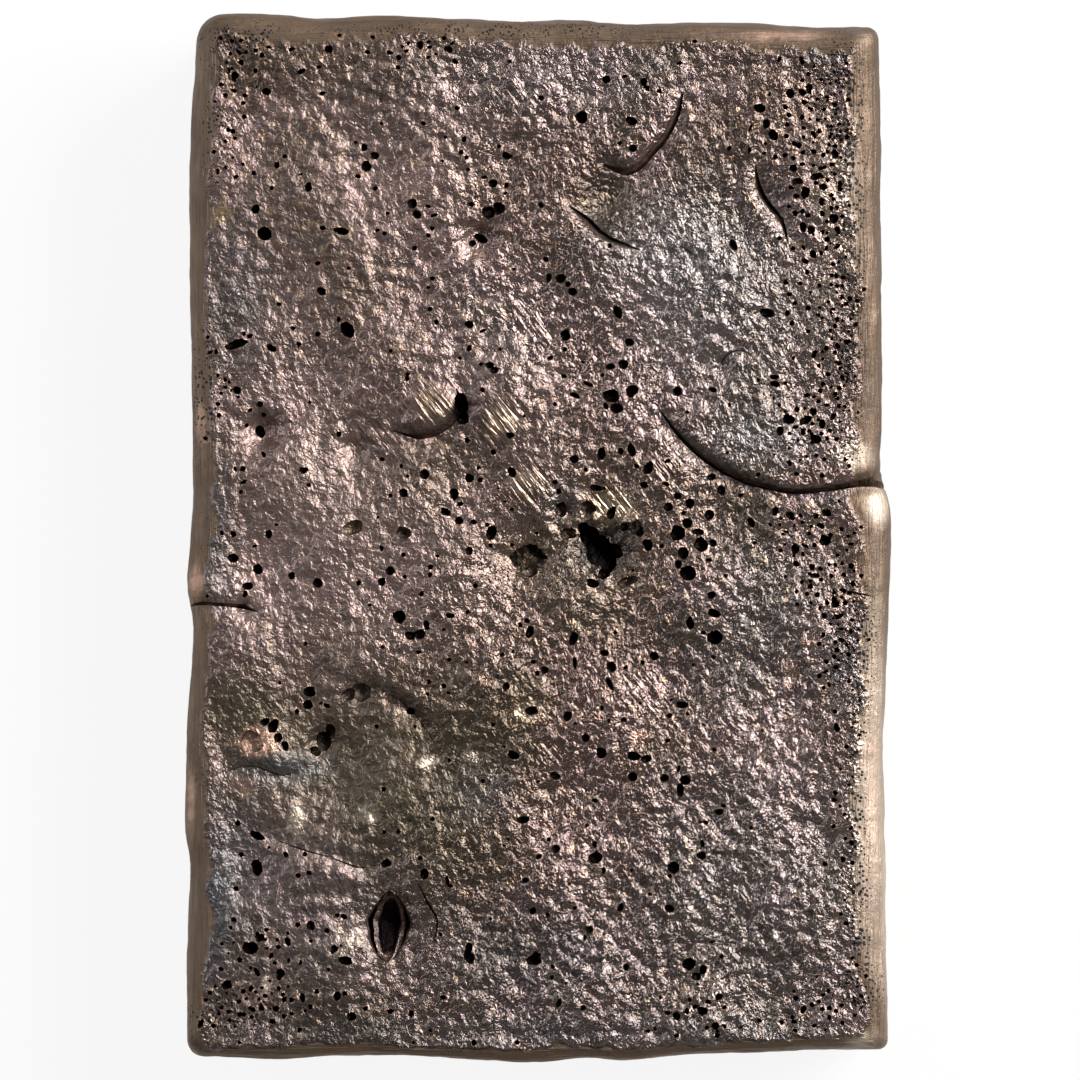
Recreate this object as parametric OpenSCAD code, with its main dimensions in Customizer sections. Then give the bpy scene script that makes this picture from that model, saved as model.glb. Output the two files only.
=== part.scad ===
// Copper ingot, cast in an open mould: one solid with its meniscus rim, its hummocked
// open face, the cold shuts where one tongue of metal froze against another, the
// shrinkage cavity in the middle and the gas holes that burst through the skin.
// Origin: middle of the foot. X is the width, Y the length, Z up. Millimetres.

/* [Slab] */
// Width across the open face
slab_width = 81; // [60:1:120]
// Length of the open face
slab_length = 120; // [90:1:180]
// Height of the open face above the foot
slab_height = 21; // [14:0.5:30]
// Lean of the walls, which narrow towards the foot, in degrees
wall_draft = 4; // [1:0.5:8]

/* [Edges] */
// Radius of the roundest corner, seen from above
corner_radius = 3.4; // [1:0.1:6]
// Radius of the meniscus round the open face
rim_radius = 3; // [1.5:0.1:4.5]
// Radius along the foot
foot_radius = 1.2; // [0.4:0.1:2.5]
// How far the sides wander in from a straight line
outline_wander = 1.5; // [0:0.1:2.5]

/* [Open face] */
// Height of the hummocks left by the freezing skin
hummock_height = 0.5; // [0:0.05:1]
// Distance from one hummock to the next
hummock_pitch = 13; // [9:0.5:25]
// How far the middle sank as it froze
dish_depth = 0.8; // [0:0.1:2]
// Radius of a full-size swell or dimple
swell_radius = 12; // [6:0.5:20]
// Height of a full-size swell, or depth of a dimple
swell_height = 1.2; // [0:0.1:2]

/* [Cold shuts] */
// Width of a full-size cold shut between its shoulders
fold_width = 1.3; // [0.6:0.1:2.5]
// Depth of a full-size cold shut
fold_depth = 2.6; // [1:0.1:5]
// Lean of a cold shut under the tongue that overlaps it, in degrees
fold_lean = 22; // [0:1:40]

/* [Cavities] */
// Length of the eye-shaped blow hole
eye_length = 7; // [4:0.1:10]
// Width of the eye-shaped blow hole
eye_width = 4.2; // [2.5:0.1:6]
// Depth of the eye-shaped blow hole
eye_depth = 3; // [1:0.1:6]
// Radius of the largest lobe of the shrinkage cavity
shrink_radius = 2.3; // [1.2:0.1:4]

/* [Gas holes] */
// Radius of the largest burst bubble
bubble_radius = 1; // [0.5:0.05:1.4]
// How far a bubble's centre lies under the face, as a share of its radius
bubble_sink = 0.35; // [0.1:0.05:0.6]
// Radius of the largest pore in the band along the right-hand rim
pore_radius = 0.55; // [0.3:0.05:0.7]
// Distance from one pore of that band to the next
pore_pitch = 2.3; // [1.8:0.1:4]
// Number of pores across the band
pore_columns = 4; // [1:1:5]

/* [Hidden] */

copper_brown = [0.40, 0.30, 0.25];

half_width = slab_width / 2;
half_length = slab_length / 2;

// Step of the mesh over the open face, and of the arcs of its edges
face_step = 2.8;
rim_steps = 4;
foot_steps = 2;
path_steps = 2;

// Corners as shares of the roundest one, by the signs of x and y
corner_shares = [[0.6, 1], [0.35, 0.45]];
// Stations round a corner, as shares of its radius in from the edge
corner_stations = [1, 0.59, 0.25, 0];

// Wander of each side, as [place along the side, share of outline_wander]
left_side = [
    [-0.95, 0.15], [-0.8, 0.15], [-0.63, 0.4], [-0.57, 0], [-0.4, 0.1], [-0.28, 0.4], [-0.15, 0.7],
    [-0.11, 0.1], [0.05, 0.6], [0.2, 0.6], [0.5, 0.35], [0.66, 0.2], [0.83, 0.55], [0.93, 0.85]
];
right_side = [
    [-0.9, 0.3], [-0.75, 0.45], [-0.65, 0.4], [-0.54, 0.55], [-0.42, 0.7], [-0.27, 0.45], [-0.06, 0.1],
    [0.03, 0], [0.08, 0.2], [0.13, 1], [0.21, 0.7], [0.45, 0.75], [0.6, 0.85], [0.8, 0.75], [0.95, 1]
];
far_side = [
    [-0.87, 0], [-0.73, 0.05], [-0.64, 0.4], [-0.5, 0.15], [-0.33, 0.2], [-0.05, 0.6], [0.1, 0.4],
    [0.26, 0.85], [0.34, 0.7], [0.65, 0.7], [0.71, 0.9], [0.95, 1]
];
near_side = [
    [-0.95, 0.45], [-0.75, 0.2], [-0.59, 0.55], [-0.28, 0.45], [-0.19, 0.2], [0, 0], [0.14, 0.4],
    [0.26, 0.1], [0.45, 0.7], [0.62, 0.7], [0.79, 0.9], [0.93, 1]
];
// How far a side's bends are eased, as a share of the half length
wander_ease = 0.03;
// Share of the wander that is left at the foot
foot_wander = 0.5;

// Waves of the hummocks, as [heading, share of the pitch, phase, weight]
hummock_waves = [
    [18, 1, 40, 0.4], [77, 1.3, 130, 0.35], [-44, 0.85, 215, 0.3], [52, 1.7, 300, 0.4]
];
// Width of the calm strip inside the rim
calm_width = 3 * rim_radius;

// Places on the open face are [x, y] as shares of half the width and half the length.
// Swells and dimples: place, share of swell_radius, share of swell_height
swells = [
    // Tongue of metal above the main cold shut
    [0.48, 0.24, 0.45, 0.6], [0.66, 0.15, 0.4, 0.8], [0.86, 0.16, 0.4, 0.6],
    // Tongues between the upper cold shuts
    [0.42, 0.5, 0.9, 0.45], [0.1, 0.9, 0.6, 0.3], [0.24, 0.75, 0.35, 0.4],
    // Wrinkled bump beside the curled cold shut
    [-0.3, 0.25, 0.25, 0.9],
    // Pooled basin on the left, with its raised lip
    [-0.58, -0.43, 0.75, -1], [-0.2, -0.5, 0.5, 0.4], [-0.58, -0.62, 0.35, 0.5],
    // Funnels left by the last metal to sink
    [-0.78, 0.2, 0.28, -0.9], [-0.16, 0.57, 0.3, -0.8], [0.55, 0.33, 0.25, -0.5],
    // Hollow round the shrinkage cavity
    [0.17, -0.01, 0.5, -0.7], [-0.05, -0.03, 0.3, -0.7]
];

// Cold shuts, as paths of [x, y, share of the full size]
main_fold = [
    [0.33, 0.26, 0.2], [0.38, 0.21, 0.7], [0.43, 0.175, 1], [0.5, 0.135, 1.1], [0.58, 0.108, 1.1],
    [0.67, 0.092, 1], [0.74, 0.088, 1], [0.82, 0.095, 1.1], [0.9, 0.105, 1.5], [0.96, 0.112, 1.9],
    [1.03, 0.118, 2.1]
];
upper_folds = [
    [[0.4, 0.85, 0.2], [0.365, 0.77, 0.8], [0.315, 0.727, 0.9], [0.285, 0.707, 0.9], [0.24, 0.692, 0.8],
        [0.19, 0.703, 0.25]],
    [[0.1, 0.625, 0.2], [0.145, 0.6, 0.8], [0.19, 0.574, 0.8], [0.27, 0.55, 0.2]],
    [[0.61, 0.7, 0.2], [0.635, 0.655, 0.8], [0.68, 0.614, 0.8], [0.705, 0.56, 0.2]]
];
curled_fold = [
    [-0.42, 0.2, 0.2], [-0.335, 0.19, 0.8], [-0.265, 0.213, 1], [-0.222, 0.25, 1.3], [-0.23, 0.285, 0.3]
];
left_fold = [
    [-1.04, -0.122, 1.3], [-0.96, -0.124, 1], [-0.88, -0.127, 0.8], [-0.83, -0.13, 1], [-0.79, -0.135, 0.25]
];
cold_shuts = concat([main_fold, curled_fold, left_fold], upper_folds);
// Section of a cold shut, as [share of its width, share of its depth]
fold_section = [
    [-1.7, 0.6], [-0.8, 0], [-0.35, -0.4], [-0.12, -1], [0.12, -1], [0.35, -0.4], [0.8, 0], [1.7, 0.6]
];

// Lobes of the shrinkage cavity: place, share of shrink_radius, share it sinks by
shrink_lobes = [
    [0.165, 0.015, 0.75, 0.1], [0.19, -0.025, 1, 0.15], [0.2, -0.06, 0.65, 0.3], [0.24, -0.02, 0.5, 0.2],
    [0.185, 0.06, 0.6, 0], [0.06, 0.055, 0.6, 0.1], [0.085, 0.005, 0.4, 0.2], [-0.03, -0.03, 1, -0.35]
];

// Eye-shaped blow hole on the near left: its middle, its stations and its section
eye_place = [-0.42, -0.73];
eye_stations = [-1, -0.6, 0, 0.6, 1];
eye_tip = 0.12;
eye_section = [
    [-0.6, 0.4], [-0.5, 0], [-0.4, -0.5], [-0.2, -1], [0.2, -1], [0.4, -0.5], [0.5, 0], [0.6, 0.4]
];
eye_path = [
    for (t = eye_stations) [eye_place.x, eye_place.y + t * eye_length / slab_length, max(1 - t * t, eye_tip)]
];

// Burst bubbles, zone by zone: place, share of bubble_radius
far_left_bubbles = [
    [-0.59, 0.93, 0.5], [-0.67, 0.89, 0.45], [-0.77, 0.85, 0.45], [-0.61, 0.85, 0.4], [-0.33, 0.94, 0.45],
    [-0.25, 0.93, 0.45], [-0.49, 0.74, 0.5], [-0.48, 0.71, 0.6], [-0.65, 0.67, 0.45], [-0.8, 0.63, 0.5],
    [-0.36, 0.64, 0.5], [-0.34, 0.61, 0.5], [-0.77, 0.58, 0.8], [-0.55, 0.58, 0.75], [-0.61, 0.59, 0.45],
    [-0.61, 0.47, 0.5], [-0.54, 0.4, 0.75], [-0.62, 0.39, 0.4], [-0.75, 0.36, 0.5], [-0.85, 0.37, 0.6],
    [-0.79, 0.255, 0.45]
];
far_right_bubbles = [
    [0.12, 0.8, 0.65], [0.26, 0.79, 0.6], [0.19, 0.87, 0.45], [0.3, 0.865, 0.5], [-0.09, 0.73, 0.5],
    [-0.13, 0.675, 0.5], [-0.14, 0.62, 0.7], [-0.11, 0.625, 0.7], [0.06, 0.495, 0.55], [0.09, 0.475, 0.5],
    [-0.2, 0.405, 0.5], [0.075, 0.385, 0.55], [0.225, 0.43, 0.55], [0.205, 0.4, 0.7], [0.26, 0.37, 0.5],
    [0.26, 0.28, 0.7], [0.205, 0.27, 0.9], [0.22, 0.245, 0.55], [-0.13, 0.32, 0.55], [0.645, 0.43, 0.75],
    [0.625, 0.82, 0.6], [0.64, 0.79, 0.5], [0.66, 0.77, 0.6], [0.39, 0.28, 0.55], [0.7, 0.225, 0.7],
    [0.67, 0.3, 0.55]
];
middle_bubbles = [
    [-0.66, 0.13, 0.5], [-0.525, 0.02, 0.95], [-0.38, 0.01, 0.8], [-0.42, -0.063, 0.55], [-0.44, -0.085, 0.45],
    [-0.62, -0.085, 0.5], [-0.79, -0.06, 0.5], [-0.39, -0.15, 0.65], [-0.34, -0.185, 0.65], [-0.24, 0.08, 0.5],
    [-0.225, 0.035, 0.5], [-0.135, 0.01, 0.6], [0.26, 0.17, 0.6], [0.31, 0.13, 0.65], [0.18, 0.16, 0.5],
    [0.1, -0.19, 0.6], [-0.025, -0.18, 0.5], [0.39, 0.01, 0.9], [0.425, -0.065, 0.85], [0.41, -0.027, 0.6],
    [0.46, -0.013, 0.75], [0.42, 0.027, 0.55], [0.425, 0.067, 0.5], [0.367, 0.06, 0.5], [0.48, 0.045, 0.55],
    [0.49, -0.11, 0.5], [0.495, -0.145, 0.7], [0.5, -0.19, 0.85], [0.43, -0.16, 0.5]
];
near_left_bubbles = [
    [-0.81, -0.39, 1], [-0.75, -0.357, 0.7], [-0.715, -0.395, 0.5], [-0.62, -0.385, 0.85], [-0.65, -0.313, 0.6],
    [-0.5, -0.29, 0.85], [-0.36, -0.33, 0.45], [-0.79, -0.565, 0.55], [-0.545, -0.805, 0.6], [-0.81, -0.78, 0.7],
    [-0.64, -0.737, 0.45], [-0.795, -0.63, 0.6], [-0.855, -0.85, 0.6], [-0.665, -0.875, 0.4]
];
near_right_bubbles = [
    [0.02, -0.25, 0.45], [0.207, -0.245, 0.55], [0.33, -0.225, 0.5], [0.18, -0.41, 0.6], [0.265, -0.415, 0.7],
    [0.263, -0.455, 0.5], [0.045, -0.453, 0.5], [-0.045, -0.535, 0.5], [0.407, -0.317, 0.55], [0.412, -0.456, 0.6],
    [0.4, -0.48, 0.5], [0.515, -0.52, 0.5], [0.84, -0.36, 0.45], [0.16, -0.607, 0.65], [0.045, -0.59, 0.45],
    [-0.193, -0.8, 0.65], [-0.015, -0.8, 0.8], [0.38, -0.627, 0.6], [0.37, -0.705, 0.5], [0.426, -0.808, 0.7],
    [0.463, -0.827, 0.7], [0.505, -0.873, 0.5], [0.457, -0.9, 0.55], [0.145, -0.745, 0.45], [0.23, -0.703, 0.5],
    [0.245, -0.816, 0.45]
];
bubbles = concat(far_left_bubbles, far_right_bubbles, middle_bubbles, near_left_bubbles, near_right_bubbles);

// Stretches of the pore band along the right-hand rim, as [from, to] along the length
pore_stretches = [[-0.22, 0.04], [0.15, 0.88]];
// Distance from the edge to the band's first column
pore_margin = rim_radius + pore_pitch / 2;
// Share of the pitch that a pore strays by, and the least share of the largest radius
pore_stray = 0.22;
pore_least = 0.55;

// Fraction of a number, which scatters values evenly when its steps are irrational
function fraction(x) = x - floor(x);
function total(list) = [for (item = list) 1] * list;

// Wander of one side at a place along it, with its bends eased
function wander(side, place) =
    outline_wander * (lookup(place - wander_ease, side) + 2 * lookup(place, side)
    + lookup(place + wander_ease, side)) / 4;

// Radius of the corner that a place belongs to
function corner(place) = corner_radius * corner_shares[place.x < 0 ? 0 : 1][place.y < 0 ? 0 : 1];

// Rounded rectangle at an inset from the straight outline. A place inside it lies on the
// smaller rectangle of the same shape that runs through it
function rounded(place, inset) =
    let (
        ring = max(abs(place.x), abs(place.y)),
        half = [half_width - inset, half_length - inset],
        reach = [abs(place.x) * half.x, abs(place.y) * half.y],
        bend = corner(place) * ring,
        over = [reach.x - ring * half.x + bend, reach.y - ring * half.y + bend],
        turned = over.x > 0 && over.y > 0,
        pull = turned ? max(over.x, over.y) / norm(over) - 1 : 0
    )
    [sign(place.x) * (reach.x + pull * over.x), sign(place.y) * (reach.y + pull * over.y)];

// Place on the slab in millimetres, with a share of the sides' wander
function plan(place, inset, share = 1) =
    rounded(place, inset) + share * [
        (1 - place.x) / 2 * wander(left_side, place.y) - (1 + place.x) / 2 * wander(right_side, place.y),
        (1 - place.y) / 2 * wander(near_side, place.x) - (1 + place.y) / 2 * wander(far_side, place.x)
    ];

// Relief of the open face at a point in millimetres
function hummocks(point) = hummock_height * total([
    for (wave = hummock_waves)
        wave[3] * sin(360 * (point.x * cos(wave[0]) + point.y * sin(wave[0])) / (hummock_pitch * wave[1]) + wave[2])
]);
function swelling(point) = swell_height * total([
    for (swell = swells)
        swell[3] * exp(-pow(norm(point - spot(swell)) / (swell[2] * swell_radius), 2))
]);

// Point in millimetres under a place, and the height of the open face there
function spot(place) = [place.x * half_width, place.y * half_length];
function face_z(place) =
    let (
        point = spot(place),
        edge = min(half_width - abs(point.x), half_length - abs(point.y)),
        calm = min(1, max(0, (edge - rim_radius) / calm_width)),
        dish = (1 - pow(place.x, 2)) * (1 - pow(place.y, 2))
    )
    slab_height + calm * (hummocks(point) + swelling(point) - dish_depth * dish);

// Stations across half the face: even steps, closer round the corners
function stations(half) =
    let (
        flat = half - rim_radius - corner_radius,
        count = ceil(2 * flat / face_step),
        edge = [for (share = corner_stations) flat + corner_radius * (1 - share)],
        last = len(edge) - 1
    )
    concat(
        [for (k = [last : -1 : 1]) -edge[k]],
        [for (k = [0 : count]) flat * (2 * k / count - 1)],
        [for (k = [1 : last]) edge[k]]
    ) / (half - rim_radius);

// Slab with its rim, drafted walls, rounded foot and hummocked face
module slab() {
    across = stations(half_width);
    along = stations(half_length);
    columns = len(across);
    rows = len(along);
    border = concat(
        [for (i = [0 : columns - 2]) i],
        [for (j = [0 : rows - 2]) j * columns + columns - 1],
        [for (i = [columns - 1 : -1 : 1]) (rows - 1) * columns + i],
        [for (j = [rows - 1 : -1 : 1]) j * columns]
    );
    round_trip = len(border);
    places = [for (y = along) for (x = across) [x, y]];
    face = [for (place = places) concat(plan(place, rim_radius), face_z(place * (1 - rim_radius / half_width)))];

    wall_inset = (slab_height - rim_radius - foot_radius) * tan(wall_draft);
    rim = [for (k = [1 : rim_steps]) let (turn = 90 * k / rim_steps)
        for (b = border) concat(
            plan(places[b], rim_radius * (1 - sin(turn))),
            face[b].z - rim_radius * (1 - cos(turn))
        )];
    foot = [for (k = [0 : foot_steps]) let (turn = 90 * k / foot_steps)
        for (b = border) concat(
            plan(places[b], wall_inset + foot_radius * (1 - cos(turn)), foot_wander),
            foot_radius * (1 - sin(turn))
        )];

    first_ring = len(places);
    rings = rim_steps + foot_steps + 1;
    middle = first_ring + rings * round_trip;
    points = concat(face, rim, foot, [[0, 0, 0]]);

    // Index of a point on a ring; ring 0 is the border of the face
    function on_ring(ring, b) =
        let (turn = b % round_trip)
        ring == 0 ? border[turn] : first_ring + (ring - 1) * round_trip + turn;

    face_triangles = [
        for (j = [0 : rows - 2]) for (i = [0 : columns - 2]) let (c = j * columns + i)
            for (triangle = [[c, c + columns + 1, c + 1], [c, c + columns, c + columns + 1]]) triangle
    ];
    side_triangles = [
        for (r = [0 : rings - 1]) for (b = [0 : round_trip - 1])
            for (triangle = [
                [on_ring(r, b), on_ring(r, b + 1), on_ring(r + 1, b + 1)],
                [on_ring(r, b), on_ring(r + 1, b + 1), on_ring(r + 1, b)]
            ]) triangle
    ];
    foot_triangles = [for (b = [0 : round_trip - 1]) [middle, on_ring(rings, b), on_ring(rings, b + 1)]];
    polyhedron(points, concat(face_triangles, side_triangles, foot_triangles));
}

// Smooth curve through a path's points; t runs from 0 to the number of stretches
function along_path(path, t) =
    let (
        last = len(path) - 1,
        k = min(floor(t), last - 1),
        f = t - k,
        a = path[max(k - 1, 0)],
        b = path[k],
        c = path[k + 1],
        d = path[min(k + 2, last)]
    )
    b + 0.5 * f * (c - a + f * (2 * a - 5 * b + 4 * c - d + f * (3 * (b - c) + d - a)));

// Cutter swept along a path, with its section sized by the path's shares
module groove(path, section, width, depth, lean = 0) {
    stretches = len(path) - 1;
    rings = stretches * path_steps;
    sides = len(section);
    small = 0.01;
    points = [
        for (k = [0 : rings])
            let (
                t = k / path_steps,
                here = along_path(path, t),
                before = spot(along_path(path, max(t - small, 0))),
                after = spot(along_path(path, min(t + small, stretches))),
                heading = (after - before) / norm(after - before),
                across = [-heading.y, heading.x],
                size = here[2],
                top = face_z(here)
            )
            for (edge = section)
                let (
                    rise = edge[1] * depth * size,
                    shift = edge[0] * width * size - rise * tan(lean)
                )
                concat(spot(here) + shift * across, top + rise)
    ];
    function at(k, s) = k * sides + s % sides;
    walls = [
        for (k = [0 : rings - 1]) for (s = [0 : sides - 1])
            for (triangle = [
                [at(k, s), at(k + 1, s + 1), at(k, s + 1)],
                [at(k, s), at(k + 1, s), at(k + 1, s + 1)]
            ]) triangle
    ];
    // The section is waisted, so its ends are closed by a ladder from one flank to the other
    ends = [
        for (s = [0 : sides / 2 - 2]) let (other = sides - 1 - s)
            for (triangle = [
                [at(0, s), at(0, s + 1), at(0, other - 1)],
                [at(0, s), at(0, other - 1), at(0, other)],
                [at(rings, s), at(rings, other - 1), at(rings, s + 1)],
                [at(rings, s), at(rings, other), at(rings, other - 1)]
            ]) triangle
    ];
    polyhedron(points, concat(walls, ends));
}

// Ball sunk under the face by a share of its radius
module hollow(place, radius, sink) {
    translate(concat(spot(place), face_z(place) - sink * radius)) sphere(radius, $fn = 32);
}

// Band of pores along the right-hand rim
module pore_band() {
    for (stretch = pore_stretches) {
        rows = floor((stretch[1] - stretch[0]) * half_length / pore_pitch);
        for (row = [0 : rows - 1]) for (column = [0 : pore_columns - 1]) {
            n = row * pore_columns + column;
            stray = pore_stray * pore_pitch * [sin(222 * n), cos(137 * n)];
            stagger = row % 2 / 2;
            point = [half_width - pore_margin - (column + stagger) * pore_pitch, stretch[0] * half_length
                + row * pore_pitch] + stray;
            size = pore_least + (1 - pore_least) * fraction(n * 0.618);
            hollow([point.x / half_width, point.y / half_length], pore_radius * size, bubble_sink);
        }
    }
}

module ingot() {
    color(copper_brown) difference() {
        slab();
        for (path = cold_shuts) groove(path, fold_section, fold_width, fold_depth, fold_lean);
        for (lobe = shrink_lobes) hollow(lobe, lobe[2] * shrink_radius, lobe[3]);
        groove(eye_path, eye_section, eye_width, eye_depth);
        for (bubble = bubbles) hollow(bubble, bubble[2] * bubble_radius, bubble_sink);
        pore_band();
    }
}

ingot();
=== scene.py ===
"""Looks of a copper ingot: one slab of copper, cast in an open mould and left as it froze.

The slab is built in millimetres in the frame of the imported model, then scaled to metres.
Its blank carries the outline, rim, swells, funnels and the lips of the cold shuts. A node
tree then adds the lumps of the freezing skin and cuts the holes and cold shuts out of it.
"""
import logging
import math
from dataclasses import dataclass, field
from enum import Enum
from typing import Any

import bpy
import numpy as np
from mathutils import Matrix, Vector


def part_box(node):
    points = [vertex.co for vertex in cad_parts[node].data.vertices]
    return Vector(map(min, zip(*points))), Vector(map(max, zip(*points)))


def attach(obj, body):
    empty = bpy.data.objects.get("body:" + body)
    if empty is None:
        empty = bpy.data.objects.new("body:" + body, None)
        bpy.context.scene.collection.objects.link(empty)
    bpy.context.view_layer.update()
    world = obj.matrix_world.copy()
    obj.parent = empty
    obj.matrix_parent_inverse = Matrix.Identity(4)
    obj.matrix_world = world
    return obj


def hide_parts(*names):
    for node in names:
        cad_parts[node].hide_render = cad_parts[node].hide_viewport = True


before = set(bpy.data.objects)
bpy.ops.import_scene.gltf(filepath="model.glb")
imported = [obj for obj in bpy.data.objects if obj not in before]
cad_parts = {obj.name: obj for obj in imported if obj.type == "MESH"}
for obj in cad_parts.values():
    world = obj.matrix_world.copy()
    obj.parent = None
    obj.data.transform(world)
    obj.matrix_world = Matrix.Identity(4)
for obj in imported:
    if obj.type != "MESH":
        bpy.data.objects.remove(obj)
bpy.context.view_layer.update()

LOG = logging.getLogger("ingot")
MM = 0.001
SEED = 7
# Fineness of the cutters and how dark the painted shade of their holes is: small holes, large holes,
# brown bowls
HOLE_SORTS = ((1, 1.0), (2, 1.0), (2, 0.62))
BALLS_PER_SORT = 4
Array = np.ndarray
Table = tuple[tuple[float, float], ...]
Colour = tuple[float, float, float]
Point = tuple[float, float, float]


def smooth_step(x: Array, low: float, high: float) -> Array:
    """Ease from 0 at low to 1 at high.

    Args:
        x: Values to ease.
        low: Value that gives 0.
        high: Value that gives 1.

    Returns:
        The eased values.
    """
    t = np.clip((x - low) / (high - low), 0.0, 1.0)
    return t * t * (3.0 - 2.0 * t)


@dataclass(frozen=True)
class PhotoFrame:
    """Where the slab lies in the photograph's frame of 1080 by 1080 pixels."""

    left: float = 183.0
    right: float = 894.0
    far: float = 12.0
    near: float = 1064.0
    side: float = 1080.0

    @property
    def middle(self) -> tuple[float, float]:
        """Pixel at the slab's middle."""
        return (self.left + self.right) / 2, (self.far + self.near) / 2

    @property
    def half(self) -> tuple[float, float]:
        """Half the slab's width and length in pixels."""
        return (self.right - self.left) / 2, (self.near - self.far) / 2

    def share(self, x: float, y: float) -> tuple[float, float]:
        """Place of a pixel as shares of half the slab's width and half its length."""
        return (x - self.middle[0]) / self.half[0], (self.middle[1] - y) / self.half[1]


PHOTO = PhotoFrame()


class Signal:
    """A node's output socket that takes part in Python expressions."""

    def __init__(self, graph: "NodeGraph", socket: bpy.types.NodeSocket) -> None:
        """Wrap a socket of a graph."""
        self.graph = graph
        self.socket = socket

    def __add__(self, other: Any) -> "Signal":
        """Sum of two values."""
        return self.graph.math("ADD", self, other)

    def __radd__(self, other: Any) -> "Signal":
        """Sum of two values."""
        return self.graph.math("ADD", other, self)

    def __sub__(self, other: Any) -> "Signal":
        """Difference of two values."""
        return self.graph.math("SUBTRACT", self, other)

    def __rsub__(self, other: Any) -> "Signal":
        """Difference of two values, the other way round."""
        return self.graph.math("SUBTRACT", other, self)

    def __mul__(self, other: Any) -> "Signal":
        """Product of two values."""
        return self.graph.math("MULTIPLY", self, other)

    def __rmul__(self, other: Any) -> "Signal":
        """Product of two values."""
        return self.graph.math("MULTIPLY", other, self)

    def maximum(self, other: Any) -> "Signal":
        """Larger of two values."""
        return self.graph.math("MAXIMUM", self, other)

    def minimum(self, other: Any) -> "Signal":
        """Smaller of two values."""
        return self.graph.math("MINIMUM", self, other)

    def magnitude(self) -> "Signal":
        """Value without its sign."""
        return self.graph.math("ABSOLUTE", self, 0.0)

    def ramp(self, low: float, high: float) -> "Signal":
        """Ease from 0 at low to 1 at high."""
        settings = {"interpolation_type": "SMOOTHSTEP"}
        return self.graph.value("ShaderNodeMapRange", settings, {0: self, 1: low, 2: high})


class NodeGraph:
    """Builds a node tree from Python calls."""

    def __init__(self, tree: bpy.types.NodeTree) -> None:
        """Work on a tree."""
        self.tree = tree

    def node(
        self, kind: str, settings: dict[str, Any] | None = None, sockets: dict[Any, Any] | None = None
    ) -> bpy.types.Node:
        """Add a node.

        Args:
            kind: The node's type name.
            settings: Its properties, set before its sockets.
            sockets: Value, signal or list of signals for each input, by name or number.

        Returns:
            The new node.
        """
        node = self.tree.nodes.new(kind)
        for name, setting in (settings or {}).items():
            setattr(node, name, setting)
        for key, content in (sockets or {}).items():
            for item in content if isinstance(content, list) else [content]:
                self.feed(node.inputs[key], item)
        return node

    def feed(self, socket: bpy.types.NodeSocket, content: Any) -> None:
        """Link a signal into a socket, or set the socket's own value."""
        if isinstance(content, Signal):
            self.tree.links.new(content.socket, socket)
        else:
            socket.default_value = content

    def value(
        self,
        kind: str,
        settings: dict[str, Any] | None = None,
        sockets: dict[Any, Any] | None = None,
        output: int | str = 0,
    ) -> Signal:
        """Add a node and return one of its outputs as a signal.

        Args:
            kind: The node's type name.
            settings: Its properties.
            sockets: What its inputs take.
            output: Name or number of the output.

        Returns:
            The output.
        """
        return Signal(self, self.node(kind, settings, sockets).outputs[output])

    def math(self, operation: str, a: Any, b: Any) -> Signal:
        """Add a Math node."""
        return self.value("ShaderNodeMath", {"operation": operation}, {0: a, 1: b})

    def scaled(self, vector: Signal, scale: Any) -> Signal:
        """Vector times a number."""
        return self.value("ShaderNodeVectorMath", {"operation": "SCALE"}, {0: vector, "Scale": scale})

    def parts(self, vector: Signal) -> tuple[Signal, Signal, Signal]:
        """The three parts of a vector."""
        node = self.node("ShaderNodeSeparateXYZ", None, {0: vector})
        return tuple(Signal(self, socket) for socket in node.outputs)

    def vector(self, x: Any, y: Any, z: Any) -> Signal:
        """A vector from its three parts."""
        return self.value("ShaderNodeCombineXYZ", None, {0: x, 1: y, 2: z})

    def noise(
        self, vector: Signal, scale: float, detail: float, roughness: float, warp: float = 0.0
    ) -> Signal:
        """Noise from 0 to 1 over a vector.

        Args:
            vector: Coordinates to read.
            scale: Cells for each unit.
            detail: Number of finer layers.
            roughness: Weight of the finer layers.
            warp: How far the cells are bent.

        Returns:
            The noise.
        """
        sockets = {"Vector": vector, "Scale": scale, "Detail": detail}
        sockets |= {"Roughness": roughness, "Distortion": warp}
        return self.value("ShaderNodeTexNoise", None, sockets)

    def mix(self, share: Any, a: Any, b: Any) -> Signal:
        """Mix of two colours."""
        as_rgba = [item if isinstance(item, Signal) else (*item, 1.0) for item in (a, b)]
        settings = {"data_type": "RGBA", "clamp_factor": True}
        return self.value("ShaderNodeMix", settings, {0: share, 6: as_rgba[0], 7: as_rgba[1]}, 2)

    def stretched(self, vector: Signal, heading: float, along: float, across: float) -> Signal:
        """Coordinates turned to a heading in the plane, with its own scale each way.

        Args:
            vector: Coordinates to turn.
            heading: Direction of the long way, in degrees from +X.
            along: Scale along the heading.
            across: Scale across it.

        Returns:
            The turned coordinates.
        """
        x, y, z = self.parts(vector)
        c = math.cos(math.radians(heading))
        s = math.sin(math.radians(heading))
        return self.vector((x * c + y * s) * along, (y * c - x * s) * across, z * across)


# Weights that only the node tree and the painting read
BLANK_WEIGHTS = ("lumps", "long_lumps", "fine_skin", "ragged", "pore_density", "wall", "hole")
# Masks that the finish reads beside the tints
MASKS = ("rim", "rim_cross", "mould_wall", "cavity", "pinholes", "satin", "combed")


class Tint(Enum):
    """Zones of the skin that differ from its dark brown."""

    PINK = "tint_pink"
    OLIVE = "tint_olive"
    BLUE = "tint_blue"
    # Partly pale bare copper, partly painted highlight on lit slopes, lit edges and the right rim
    PALE = "tint_pale"
    # Painted shade: near-black patches in hollows, pockets, a hole floor and a fold's valley
    SOOT = "tint_soot"
    SILVER = "tint_silver"
    ROSE = "tint_rose"
    GOLD = "tint_gold"


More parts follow.
